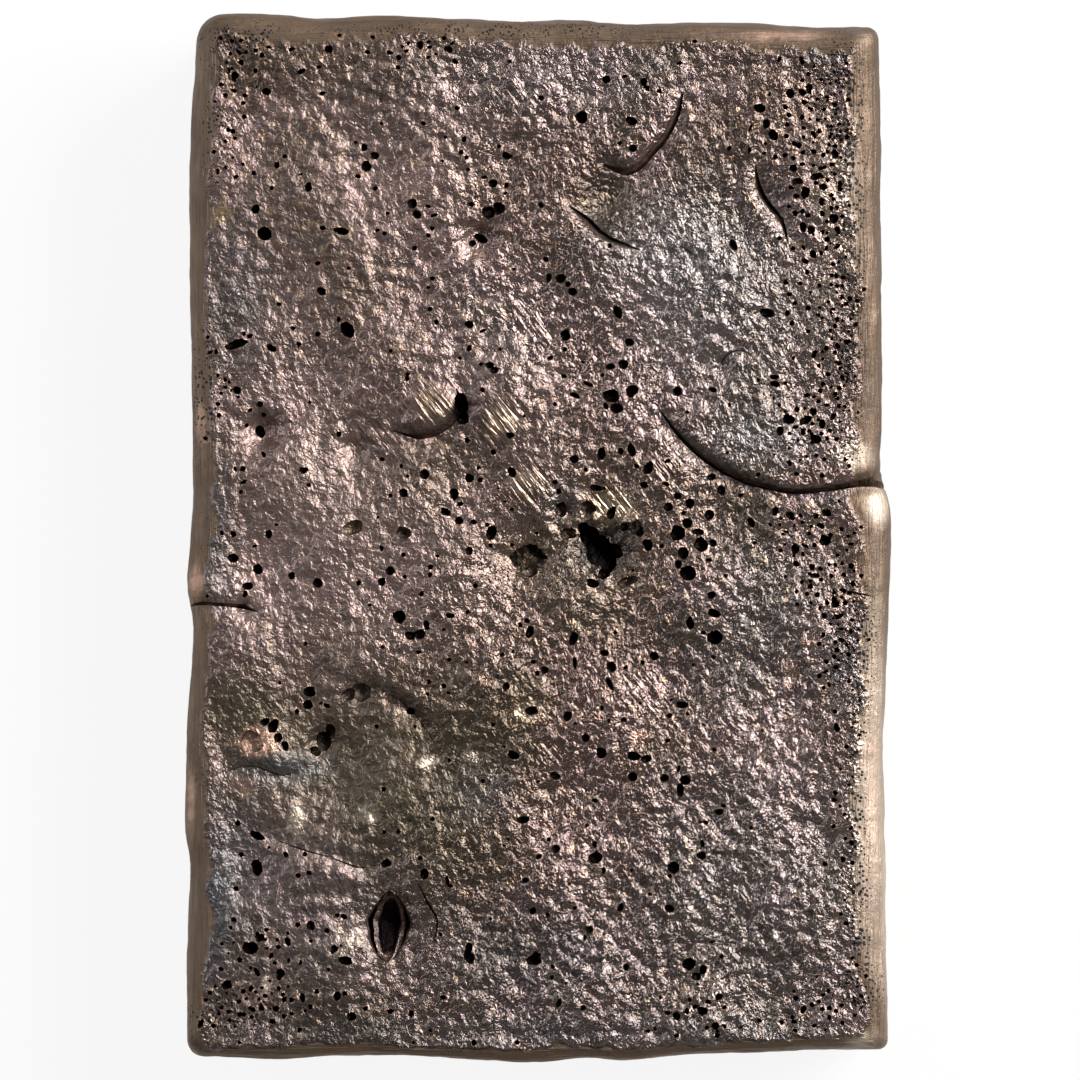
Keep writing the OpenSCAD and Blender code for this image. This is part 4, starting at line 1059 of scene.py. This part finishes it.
@dataclass
class IngotCasting:
    """The cast slab. Sizes are in millimetres."""

    half_width: float
    half_length: float
    height: float
    step: float = 0.46
    face_drop: float = 0.8
    corner_radius: float = 3.4
    corner_shares: tuple[tuple[float, float], tuple[float, float]] = ((0.6, 1.0), (0.35, 0.45))
    rim_left: float = 2.1
    rim_right: float = 3.0
    rim_far: float = 2.5
    rim_near: float = 1.3
    outline_wander: float = 1.5
    wander_ease: float = 0.03
    foot_wander: float = 0.5
    wall_draft: float = 4.0
    foot_radius: float = 1.2
    hummock_height: float = 0.5
    hummock_pitch: float = 13.0
    dish_depth: float = 0.7
    swell_radius: float = 12.0
    swell_height: float = 1.2
    rim_steps: int = 5
    wall_steps: int = 3
    foot_steps: int = 2
    fold_lean: float = 0.35
    hole_spread: float = 1.18
    hole_depth_share: float = 1.25
    hole_least_depth: float = 0.6
    hole_most_depth: float = 1.9
    bowl_depth: float = 0.85
    large_hole_radius: float = 0.44
    lump_margin: float = 0.1
    finish: CopperSkin = field(default_factory=CopperSkin)
    frozen: FrozenSkin = field(default_factory=FrozenSkin)

    @property
    def pixel(self) -> float:
        """Millimetres that one pixel of the photograph spans."""
        return self.half_length / PHOTO.half[1]

    def spot(self, x: Any, y: Any) -> tuple[Any, Any]:
        """Point in millimetres under a pixel of the photograph."""
        u, v = PHOTO.share(x, y)
        return u * self.half_width, v * self.half_length

    def wander(self, side: Table, place: Array) -> Array:
        """How far a side wanders in at places along it, with its bends eased."""
        places, shares = np.array(side).T
        ease = self.wander_ease
        samples = [np.interp(place + shift, places, shares) for shift in (-ease, 0.0, 0.0, ease)]
        return self.outline_wander * sum(samples) / len(samples)

    def rim_wave(self, place: Array) -> Array:
        """How the rim's width varies along a side."""
        return 1 + 0.16 * np.sin(9.0 * place + 1.0) + 0.08 * np.sin(23.0 * place)

    def plan(
        self, a: Array, b: Array, rim_share: float, inset: float, wander_share: float
    ) -> tuple[Array, Array]:
        """Points of the slab's plan.

        Args:
            a: Places across, from -1 to 1.
            b: Places along, from -1 to 1.
            rim_share: Share of the rim's width that the outline is drawn in by.
            inset: Further inset on all sides.
            wander_share: Share of the sides' wander.

        Returns:
            The points' x and y.
        """
        wave_long = self.rim_wave(b)
        wave_short = self.rim_wave(a)
        left, right = (inset + rim_share * rim * wave_long for rim in (self.rim_left, self.rim_right))
        near, far = (inset + rim_share * rim * wave_short for rim in (self.rim_near, self.rim_far))
        half_x = self.half_width - (left + right) / 2
        half_y = self.half_length - (near + far) / 2
        ring = np.maximum(np.abs(a), np.abs(b))
        shares = np.array(self.corner_shares)[(a > 0).astype(int), (b > 0).astype(int)]
        bend = np.maximum(self.corner_radius * shares * ring, 1e-6)
        over_x = np.abs(a) * half_x - ring * half_x + bend
        over_y = np.abs(b) * half_y - ring * half_y + bend
        turned = (over_x > 0) & (over_y > 0)
        reach = np.hypot(over_x, over_y)
        pull = np.where(turned, np.maximum(over_x, over_y) / np.maximum(reach, 1e-9) - 1.0, 0.0)
        x = np.sign(a) * (np.abs(a) * half_x + pull * over_x) + (left - right) / 2
        y = np.sign(b) * (np.abs(b) * half_y + pull * over_y) + (near - far) / 2
        shift_x = (1 - a) / 2 * self.wander(LEFT_SIDE, b) - (1 + a) / 2 * self.wander(RIGHT_SIDE, b)
        shift_y = (1 - b) / 2 * self.wander(NEAR_SIDE, a) - (1 + b) / 2 * self.wander(FAR_SIDE, a)
        x += wander_share * shift_x
        y += wander_share * shift_y
        return x, y

    def zone_weight(self, zones: tuple[Zone, ...], x: Array, y: Array) -> Array:
        """Sum of soft patches at points, capped at 1."""
        total = np.zeros_like(x)
        for zone in zones:
            zx, zy = self.spot(zone.x, zone.y)
            across = (x - zx) / (zone.across * self.pixel)
            along = (y - zy) / (zone.along * self.pixel)
            total += zone.strength * np.exp(-np.minimum(across**2 + along**2, 60.0) ** 1.2)
        return np.clip(total, 0.0, 1.0)

    def edge_distance(self, x: Array, y: Array) -> tuple[Array, Array]:
        """Distance in from the long sides and from the short sides, as shares of the rim there."""
        u = np.clip(x / self.half_width, -1, 1)
        v = np.clip(y / self.half_length, -1, 1)
        left = (x + self.half_width - self.wander(LEFT_SIDE, v)) / (self.rim_left * self.rim_wave(v))
        right = (self.half_width - self.wander(RIGHT_SIDE, v) - x) / (self.rim_right * self.rim_wave(v))
        near = (y + self.half_length - self.wander(NEAR_SIDE, u)) / (self.rim_near * self.rim_wave(u))
        far = (self.half_length - self.wander(FAR_SIDE, u) - y) / (self.rim_far * self.rim_wave(u))
        return np.minimum(left, right), np.minimum(near, far)

    def fold_path(self, fold: Fold, spacing: float = 0.6) -> Array:
        """Smooth curve through a fold's points.

        Args:
            fold: The fold.
            spacing: Distance between the curve's points, in millimetres.

        Returns:
            Points in millimetres, each with its share of the full size.
        """
        points = np.array([(*self.spot(x, y), size) for x, y, size in fold.path])
        padded = np.vstack([points[:1], points, points[-1:]])
        curve = []
        for k in range(len(points) - 1):
            p0, p1, p2, p3 = padded[k : k + 4]
            steps = max(2, int(np.hypot(*(p2 - p1)[:2]) / spacing))
            linear = p2 - p0
            square = 2 * p0 - 5 * p1 + 4 * p2 - p3
            cubic = 3 * (p1 - p2) + p3 - p0
            for t in np.arange(steps) / steps:
                curve.append(p1 + 0.5 * t * (linear + t * (square + t * cubic)))
        return np.vstack([curve, points[-1:]])

    def fold_sides(self, fold: Fold, x: Array, y: Array) -> tuple[Array, Array, Array]:
        """Where points lie beside a fold.

        Args:
            fold: The fold.
            x: Places across.
            y: Places along.

        Returns:
            Distance to the fold, whether a point lies on its tongue, and the fold's size there.
        """
        curve = self.fold_path(fold, 1.2)
        nearest = np.full_like(x, 1e9)
        side = np.zeros_like(x)
        size = np.zeros_like(x)
        for start, end in zip(curve[:-1], curve[1:]):
            run = (end - start)[:2]
            length = max(np.hypot(*run), 1e-6)
            t = np.clip(((x - start[0]) * run[0] + (y - start[1]) * run[1]) / length**2, 0, 1)
            dx = x - start[0] - t * run[0]
            dy = y - start[1] - t * run[1]
            distance = np.hypot(dx, dy)
            closer = distance < nearest
            nearest = np.where(closer, distance, nearest)
            side = np.where(closer, np.sign(run[0] * dy - run[1] * dx), side)
            size = np.where(closer, start[2] + t * (end[2] - start[2]), size)
        return nearest, side * fold.tongue > 0, np.clip(size, 0.0, 1.2)

    def fold_lip(self, fold: Fold, x: Array, y: Array) -> Array:
        """Weight of the smooth lip along a fold's tongue."""
        nearest, tongue, weight = self.fold_sides(fold, x, y)
        return fold.lip * weight * tongue * np.exp(-((nearest / 1.8) ** 2))

    def fold_relief(self, fold: Fold, x: Array, y: Array) -> Array:
        """Raised lip of a fold's tongue and the sunk strip that it laps over."""
        nearest, tongue, weight = self.fold_sides(fold, x, y)
        swell = 0.8 * np.exp(-((nearest / 3.6) ** 2)) - 1.5 * np.clip(1 - nearest / 2.0, 0, 1) ** 2
        sunk = -0.65 * np.exp(-((nearest / 1.3) ** 2))
        return fold.lip * weight * np.where(tongue, swell, sunk)

    def face_height(self, x: Array, y: Array) -> Array:
        """Height of the open face, before the skin's lumps.

        Args:
            x: Places across.
            y: Places along.

        Returns:
            The heights.
        """
        u, v = x / self.half_width, y / self.half_length
        relief = -self.dish_depth * (1 - u**2) * (1 - v**2)
        for heading, pitch, phase, weight in HUMMOCK_WAVES:
            angle = math.radians(heading)
            travel = (x * math.cos(angle) + y * math.sin(angle)) / (self.hummock_pitch * pitch)
            relief += self.hummock_height * weight * np.sin(2 * math.pi * travel + math.radians(phase))
        for su, sv, radius, height in SWELLS:
            away = np.hypot(x - su * self.half_width, y - sv * self.half_length)
            relief += self.swell_height * height * np.exp(-((away / (radius * self.swell_radius)) ** 2))
        for funnel in FUNNELS:
            relief += self.funnel_relief(funnel, x, y)
        long_edge, short_edge = self.edge_distance(x, y)
        calm = smooth_step(np.minimum(long_edge, short_edge), 0.9, 2.4)
        relief *= calm
        for fold in FOLDS:
            relief += self.fold_relief(fold, x, y)
        room = self.face_drop - 0.4
        return self.height - self.face_drop + np.where(relief > 0, room * np.tanh(relief / room), relief)

    def funnel_relief(self, funnel: Funnel, x: Array, y: Array) -> Array:
        """A dimple with wrinkles that run into it."""
        fx, fy = self.spot(funnel.x, funnel.y)
        away = np.hypot(x - fx, y - fy) / (funnel.radius * self.pixel)
        turn = np.arctan2(y - fy, x - fx)
        bowl = -funnel.depth * np.exp(-((away / 0.62) ** 3))
        wave = np.sin(funnel.wrinkles * turn + 2.3 * np.sin(2 * turn) + 1.5 * away)
        return bowl + 0.16 * funnel.depth * wave * away * np.exp(-((away / 0.95) ** 2))

    def blank_arrays(self) -> tuple[Array, list[tuple[int, ...]], int]:
        """Points and faces of the blank: its open face, rim, walls and foot.

        Returns:
            The points, the faces, and the number of points on the open face.
        """
        columns = int(2 * self.half_width / self.step) + 1
        rows = int(2 * self.half_length / self.step) + 1
        b, a = np.meshgrid(np.linspace(-1, 1, rows), np.linspace(-1, 1, columns), indexing="ij")
        a, b = a.ravel(), b.ravel()
        x, y = self.plan(a, b, 1.0, 0.0, 1.0)
        face = np.column_stack([x, y, self.face_height(x, y)])
        index = np.arange(rows * columns).reshape(rows, columns)
        border = np.concatenate([index[0, :-1], index[:-1, -1], index[-1, :0:-1], index[:0:-1, 0]])
        rings = [border]
        points = [face]
        count = len(face)

        outer_x, outer_y = self.plan(a[border], b[border], 0.0, 0.0, 1.0)
        rim_width = np.hypot(outer_x - face[border, 0], outer_y - face[border, 1])
        drop = np.clip(0.85 * rim_width, 1.0, 3.2)
        for k in range(1, self.rim_steps + 1):
            turn = math.pi / 2 * k / self.rim_steps
            ring_x, ring_y = self.plan(a[border], b[border], 1 - math.sin(turn), 0.0, 1.0)
            ring_z = face[border, 2] - drop * (1 - math.cos(turn))
            points.append(np.column_stack([ring_x, ring_y, ring_z]))
        rim_foot = points[-1]
        draft = math.tan(math.radians(self.wall_draft))
        wall_inset = (self.height - self.foot_radius - 3.0) * draft
        for k in range(self.foot_steps + 1):
            turn = math.pi / 2 * k / self.foot_steps
            inset = wall_inset + self.foot_radius * (1 - math.cos(turn))
            ring_x, ring_y = self.plan(a[border], b[border], 0.0, inset, self.foot_wander)
            ring_z = np.full(len(border), self.foot_radius * (1 - math.sin(turn)))
            ring = np.column_stack([ring_x, ring_y, ring_z])
            if k == 0:
                for share in np.arange(1, self.wall_steps) / self.wall_steps:
                    points.append(rim_foot + share * (ring - rim_foot))
            points.append(ring)
        for ring in points[1:]:
            rings.append(np.arange(count, count + len(ring)))
            count += len(ring)
        points.append(np.zeros((1, 3)))

        faces = np.column_stack(
            [
                index[:-1, :-1].ravel(),
                index[:-1, 1:].ravel(),
                index[1:, 1:].ravel(),
                index[1:, :-1].ravel(),
            ]
        ).tolist()
        for upper, lower in zip(rings[:-1], rings[1:]):
            quads = np.column_stack([upper, lower, np.roll(lower, -1), np.roll(upper, -1)])
            faces += quads.tolist()
        last = rings[-1]
        faces += np.column_stack([np.full(len(last), count), np.roll(last, -1), last]).tolist()
        return np.vstack(points), faces, len(face)

    def blank(self) -> bpy.types.Object:
        """Closed blank of the slab, with the weights that the skin's node tree reads."""
        points, faces, face_count = self.blank_arrays()
        mesh = bpy.data.meshes.new("ingot_blank")
        mesh.from_pydata((points * MM).tolist(), [], faces)
        x, y = points[:, 0], points[:, 1]
        long_edge, short_edge = self.edge_distance(x, y)
        on_face = np.zeros(len(points))
        on_face[:face_count] = 1.0
        inside = smooth_step(np.minimum(long_edge, short_edge), 0.75, 1.8) * on_face
        lips = sum(self.fold_lip(fold, x, y) for fold in FOLDS)
        smooth = (1 - self.zone_weight(SMOOTH, x, y)) * (1 - 0.5 * np.clip(lips, 0, 1))
        long_share = self.zone_weight(LONG_LUMPS, x, y)
        fine_share = self.zone_weight(FINE_SKIN, x, y)
        weights = {
            "lumps": inside * smooth * (1 - 0.75 * long_share) * (1 - 0.55 * fine_share),
            "long_lumps": inside * smooth * long_share,
            "fine_skin": inside * (0.35 + 0.65 * fine_share),
            "ragged": inside * self.zone_weight(RAGGED, x, y),
            "pore_density": inside * self.zone_weight(PORE_ZONES, x, y),
            "wall": 1.0 - on_face,
        }
        for name, weight in weights.items():
            attribute = mesh.attributes.new(name, "FLOAT", "POINT")
            attribute.data.foreach_set("value", weight.astype(np.float32))
        mesh.attributes.new("hole", "FLOAT", "FACE")
        return self.link(bpy.data.objects.new("ingot_blank", mesh))

    def link(self, piece: bpy.types.Object) -> bpy.types.Object:
        """Put an object into the scene."""
        bpy.context.scene.collection.objects.link(piece)
        return piece

    def groove_arrays(
        self, curve: Array, section: Table, width: float, depth: float, lean: float
    ) -> tuple[Array, list]:
        """Points and faces of a cutter swept along a curve.

        Args:
            curve: Points of the curve with the share of the full size at each.
            section: Section of the cutter as shares of its width and depth.
            width: Full width.
            depth: Full depth.
            lean: Shift across for each millimetre of depth.

        Returns:
            The points and the faces.
        """
        heading = np.gradient(curve[:, :2], axis=0)
        heading /= np.linalg.norm(heading, axis=1)[:, None]
        across = np.column_stack([-heading[:, 1], heading[:, 0]])
        base = self.face_height(curve[:, 0], curve[:, 1])
        sides = len(section)
        rings = []
        for share, drop in section:
            rise = drop * depth * curve[:, 2] + (0.9 if drop > 0 else 0.0)
            shift = share * width * curve[:, 2] + np.minimum(rise, 0) * lean
            rings.append(np.column_stack([curve[:, :2] + shift[:, None] * across, base + rise]))
        points = np.stack(rings, axis=1).reshape(-1, 3)
        count = len(curve)
        faces = []
        for k in range(count - 1):
            for s in range(sides):
                n = (s + 1) % sides
                faces.append((k * sides + s, k * sides + n, (k + 1) * sides + n, (k + 1) * sides + s))
        for s in range(sides // 2 - 1):
            o = sides - 1 - s
            last = (count - 1) * sides
            faces.append((s, o, o - 1, s + 1))
            faces.append((last + s, last + s + 1, last + o - 1, last + o))
        return points, faces

    def grooves(self) -> list[bpy.types.Object]:
        """Cutters of the cold shuts and of the eye-shaped blow hole."""
        cuts = []
        for fold in FOLDS:
            lean = self.fold_lean * fold.tongue
            curve = self.fold_path(fold)
            cuts.append(self.groove_arrays(curve, SLIT_SECTION, fold.width, fold.depth, lean))
        ex, ey = self.spot(EYE.x, EYE.y)
        t = np.linspace(-1, 1, 15)
        ragged = 1 + 0.06 * np.sin(6.0 * t + 0.5) + 0.04 * np.sin(13.0 * t)
        size = np.maximum(1 - t**2, 0.02) ** 0.75 * ragged
        eye = np.column_stack([ex + 0.15 * np.sin(2.5 * t), ey + t * EYE.along * self.pixel, size])
        cuts.append(self.groove_arrays(eye, EYE_SECTION, 2 * EYE.across * self.pixel, EYE.strength, 0.0))
        pieces = []
        for number, (points, faces) in enumerate(cuts):
            mesh = bpy.data.meshes.new(f"groove_{number}")
            mesh.from_pydata((points * MM).tolist(), [], faces)
            pieces.append(self.link(bpy.data.objects.new(f"groove_{number}", mesh)))
        return pieces

    def hole_points(self) -> bpy.types.Object:
        """Points of the gas holes that show by themselves, with their sizes and headings."""
        holes = np.array([hole for zone in HOLES.values() for hole in zone], dtype=float)
        x, y = self.spot(holes[:, 0], holes[:, 1])
        mesh = bpy.data.meshes.new("gas_holes")
        points = np.column_stack([x, y, np.full(len(x), self.height + 5.0)]) * MM
        mesh.from_pydata(points.tolist(), [], [])
        bowl = np.array([name == "bowls" for name, zone in HOLES.items() for _ in zone])
        radius = holes[:, 2:] / 2 * self.pixel * self.hole_spread
        mean = np.sqrt(radius[:, 0] * radius[:, 1])
        most = np.where(bowl, self.bowl_depth, self.hole_most_depth)
        deep = np.clip(self.hole_depth_share * mean, self.hole_least_depth, most)
        sort = np.where(bowl, 2.0, np.where(mean > self.large_hole_radius, 1.0, 0.0))
        size = np.column_stack([radius, deep]) * MM
        mesh.attributes.new("hole_size", "FLOAT_VECTOR", "POINT").data.foreach_set("vector", size.ravel())
        mesh.attributes.new("hole_sort", "FLOAT", "POINT").data.foreach_set("value", sort)
        heading = 0.45 * np.sin(np.arange(len(x)) * 2.4)
        mesh.attributes.new("hole_heading", "FLOAT", "POINT").data.foreach_set("value", heading)
        return self.link(bpy.data.objects.new("gas_holes", mesh))

    def paint(self, mesh: bpy.types.Mesh) -> None:
        """Write the masks that the finish reads.

        Args:
            mesh: The cut slab, which still has the blank's weights.
        """
        points = np.empty(len(mesh.vertices) * 3, dtype=np.float32)
        mesh.vertices.foreach_get("co", points)
        x, y, z = (points.reshape(-1, 3).astype(float) / MM).T
        long_edge, short_edge = self.edge_distance(x, y)
        edge = np.minimum(long_edge, short_edge)
        top = self.face_height(x, y)
        off_face = np.empty(len(mesh.vertices), dtype=np.float32)
        mesh.attributes["wall"].data.foreach_get("value", off_face)
        wall = smooth_step(top - z, 2.4, 4.0) * off_face
        rough = 0.28 * np.sin(0.9 * x) * np.sin(0.7 * y + 1.0) + 0.2 * np.sin(2.3 * x + 1.1 * y)
        rim = np.maximum(1 - smooth_step(edge + 0.6 * rough, 0.7, 1.5), wall)
        # Points sunk well below the face are darkened with depth as painted shade
        sunk = np.clip((top - z - 0.75) / 0.7, 0.0, 1.0) * smooth_step(edge, 0.9, 1.1) * (1 - off_face)
        masks = {
            "mould_wall": wall,
            "rim": rim,
            "rim_cross": smooth_step(long_edge - short_edge, -0.3, 0.3),
            "cavity": np.maximum(sunk, self.hole_share(mesh)),
            "pinholes": self.zone_weight(PINHOLE_ZONES, x, y) * (1 - wall),
            "satin": self.zone_weight(SATIN, x, y),
            "combed": self.zone_weight(COMBED, x, y),
        }
        for tint, zones in TINTS.items():
            masks[tint.value] = self.zone_weight(zones, x, y) * (1 - wall)
        for name, mask in masks.items():
            mesh.attributes.new(name, "FLOAT", "POINT").data.foreach_set("value", mask.astype(np.float32))

    def hole_share(self, mesh: bpy.types.Mesh) -> Array:
        """Painted shade of the gas holes at each point, from the faces round it.

        Args:
            mesh: The cut slab.

        Returns:
            0 off the holes, and up to 0.8 of painted shade inside them.
        """
        in_hole = np.empty(len(mesh.polygons), dtype=np.float32)
        mesh.attributes["hole"].data.foreach_get("value", in_hole)
        sides = np.empty(len(mesh.polygons), dtype=np.int32)
        mesh.polygons.foreach_get("loop_total", sides)
        corners = np.empty(len(mesh.loops), dtype=np.int32)
        mesh.loops.foreach_get("vertex_index", corners)
        total = np.bincount(corners, np.repeat(in_hole, sides), len(mesh.vertices))
        count = np.maximum(np.bincount(corners, minlength=len(mesh.vertices)), 1)
        LOG.info("gas holes: %d faces", int(in_hole.sum()))
        return smooth_step(total / count, 0.25, 1.0) * 0.8

    def cast(self) -> bpy.types.Object:
        """Build the finished slab as one plain mesh.

        Returns:
            The slab, with its masks and its finish.
        """
        material = self.finish.build()
        blank = self.blank()
        groove_pieces = self.grooves()
        holes = self.hole_points()
        tree = self.frozen.tree(material, groove_pieces)
        settings = {"Gas Holes": holes, "Seed": SEED}
        settings |= self.frozen.lengths(top=self.height - self.lump_margin)
        modifier = blank.modifiers.new("frozen_skin", "NODES")
        modifier.node_group = tree
        for socket in tree.interface.items_tree:
            if socket.in_out == "INPUT" and socket.name in settings:
                modifier[socket.identifier] = settings[socket.name]
        evaluated = blank.evaluated_get(bpy.context.evaluated_depsgraph_get())
        mesh = bpy.data.meshes.new_from_object(evaluated)
        mesh.name = "ingot_casting"
        blank.modifiers.clear()
        for scrap in (blank, holes, *groove_pieces):
            bpy.data.objects.remove(scrap)
        mesh.polygons.foreach_set("use_smooth", np.ones(len(mesh.polygons), dtype=bool))
        mesh.set_sharp_from_angle(angle=math.radians(48))
        self.paint(mesh)
        for name in BLANK_WEIGHTS:
            mesh.attributes.remove(mesh.attributes[name])
        return self.link(bpy.data.objects.new("ingot_casting", mesh))


@dataclass(frozen=True)
class SoftBox:
    """A flat soft lamp: where it stands, in metres, its size and its power."""

    name: str
    place: Point
    width: float
    length: float
    power: float
    colour: Colour = (1.0, 1.0, 1.0)


@dataclass
class Studio:
    """Pale floor, soft lamps and a camera that looks straight down on the slab."""

    face_height: float
    pixel: float
    distance: float = 1.2
    sensor: float = 36.0
    floor_half: float = 30.0
    floor_glow: float = 0.9
    ambient: float = 0.023
    lamps: tuple[SoftBox, ...] = (
        SoftBox("key", (0.52, 0.30, 0.44), 0.5, 0.5, 9.6, (1.0, 0.99, 0.98)),
        SoftBox("fill", (-0.62, 0.10, 0.25), 0.4, 0.4, 1.8, (0.92, 0.96, 1.0)),
        SoftBox("near", (0.10, -0.60, 0.38), 0.5, 0.4, 0.28, (1.0, 0.97, 0.94)),
        SoftBox("far", (0.05, 0.60, 0.42), 0.5, 0.4, 1.0, (1.0, 0.98, 0.95)),
        SoftBox("top", (0.0, 0.001, 1.5), 1.2, 1.2, 0.16, (1.0, 1.0, 1.0)),
    )

    def background_rays(self, graph: NodeGraph) -> Signal:
        """1 for the rays that show the backdrop: to the camera, in gloss and through glass."""
        path = graph.node("ShaderNodeLightPath")
        names = ("Is Camera Ray", "Is Glossy Ray", "Is Transmission Ray")
        camera, gloss, glass = (Signal(graph, path.outputs[name]) for name in names)
        return camera.maximum(gloss).maximum(glass)

    def floor(self) -> bpy.types.Object:
        """White floor that keeps a faint shadow."""
        mesh = bpy.data.meshes.new("floor")
        h = self.floor_half
        mesh.from_pydata([(-h, -h, 0), (h, -h, 0), (h, h, 0), (-h, h, 0)], [], [(0, 1, 2, 3)])
        material = bpy.data.materials.new("pale_floor")
        material.use_nodes = True
        graph = NodeGraph(material.node_tree)
        material.node_tree.nodes.remove(material.node_tree.nodes["Principled BSDF"])
        matt = graph.value("ShaderNodeBsdfDiffuse", None, {"Color": (0.9, 0.9, 0.9, 1.0)})
        glow = graph.value("ShaderNodeEmission", None, {"Color": (1.0, 1.0, 1.0, 1.0), "Strength": 1.0})
        share = self.background_rays(graph) * self.floor_glow
        mixed = graph.value("ShaderNodeMixShader", None, {0: share, 1: matt, 2: glow})
        graph.feed(material.node_tree.nodes["Material Output"].inputs["Surface"], mixed)
        mesh.materials.append(material)
        floor = bpy.data.objects.new("floor", mesh)
        bpy.context.scene.collection.objects.link(floor)
        return floor

    def world(self) -> None:
        """Plain dim room above the floor."""
        world = bpy.data.worlds.new("studio_room")
        world.use_nodes = True
        bpy.context.scene.world = world
        background = world.node_tree.nodes["Background"]
        background.inputs["Color"].default_value = (1.0, 1.0, 1.0, 1.0)
        background.inputs["Strength"].default_value = self.ambient

    def lights(self) -> None:
        """Soft lamps that face the slab."""
        for box in self.lamps:
            light = bpy.data.lights.new(box.name, "AREA")
            light.shape = "RECTANGLE"
            light.size = box.width
            light.size_y = box.length
            light.energy = box.power
            light.color = box.colour
            lamp = bpy.data.objects.new(box.name, light)
            x, y, z = box.place
            flat = math.hypot(x, y)
            lamp.location = box.place
            lamp.rotation_euler = (math.atan2(flat, z - self.face_height), 0.0, math.atan2(x, -y))
            bpy.context.scene.collection.objects.link(lamp)

    def camera(self) -> None:
        """Camera straight above, framed as the photograph is."""
        data = bpy.data.cameras.new("camera")
        span = PHOTO.side * self.pixel * MM
        data.sensor_width = self.sensor
        data.lens = self.sensor * self.distance / span
        data.clip_end = 100.0
        camera = bpy.data.objects.new("camera", data)
        offset_x = (PHOTO.side / 2 - PHOTO.middle[0]) * self.pixel * MM
        offset_y = (PHOTO.middle[1] - PHOTO.side / 2) * self.pixel * MM
        camera.location = (offset_x, offset_y, self.face_height + self.distance)
        bpy.context.scene.collection.objects.link(camera)
        bpy.context.scene.camera = camera

    def build(self) -> None:
        """Set up the whole studio."""
        bpy.context.scene.view_settings.view_transform = "Standard"
        self.camera()
        self.lights()
        self.world()
        self.floor()


def main() -> None:
    """Build the casting and its studio, and report each piece."""
    logging.basicConfig(level=logging.INFO, format="%(name)s: %(message)s")
    low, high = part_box("ingot")
    casting = IngotCasting(
        half_width=(high[0] - low[0]) / 2 / MM,
        half_length=(high[1] - low[1]) / 2 / MM,
        height=high[2] / MM,
    )
    piece = casting.cast()
    triangles = sum(len(face.vertices) - 2 for face in piece.data.polygons)
    LOG.info("%s: %d triangles", piece.name, triangles)
    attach(piece, "root")
    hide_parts("ingot")
    studio = Studio(face_height=high[2], pixel=casting.pixel)
    studio.build()
    LOG.info("studio: %d lamps", len(studio.lamps))


if __name__ == "__main__":
    main()
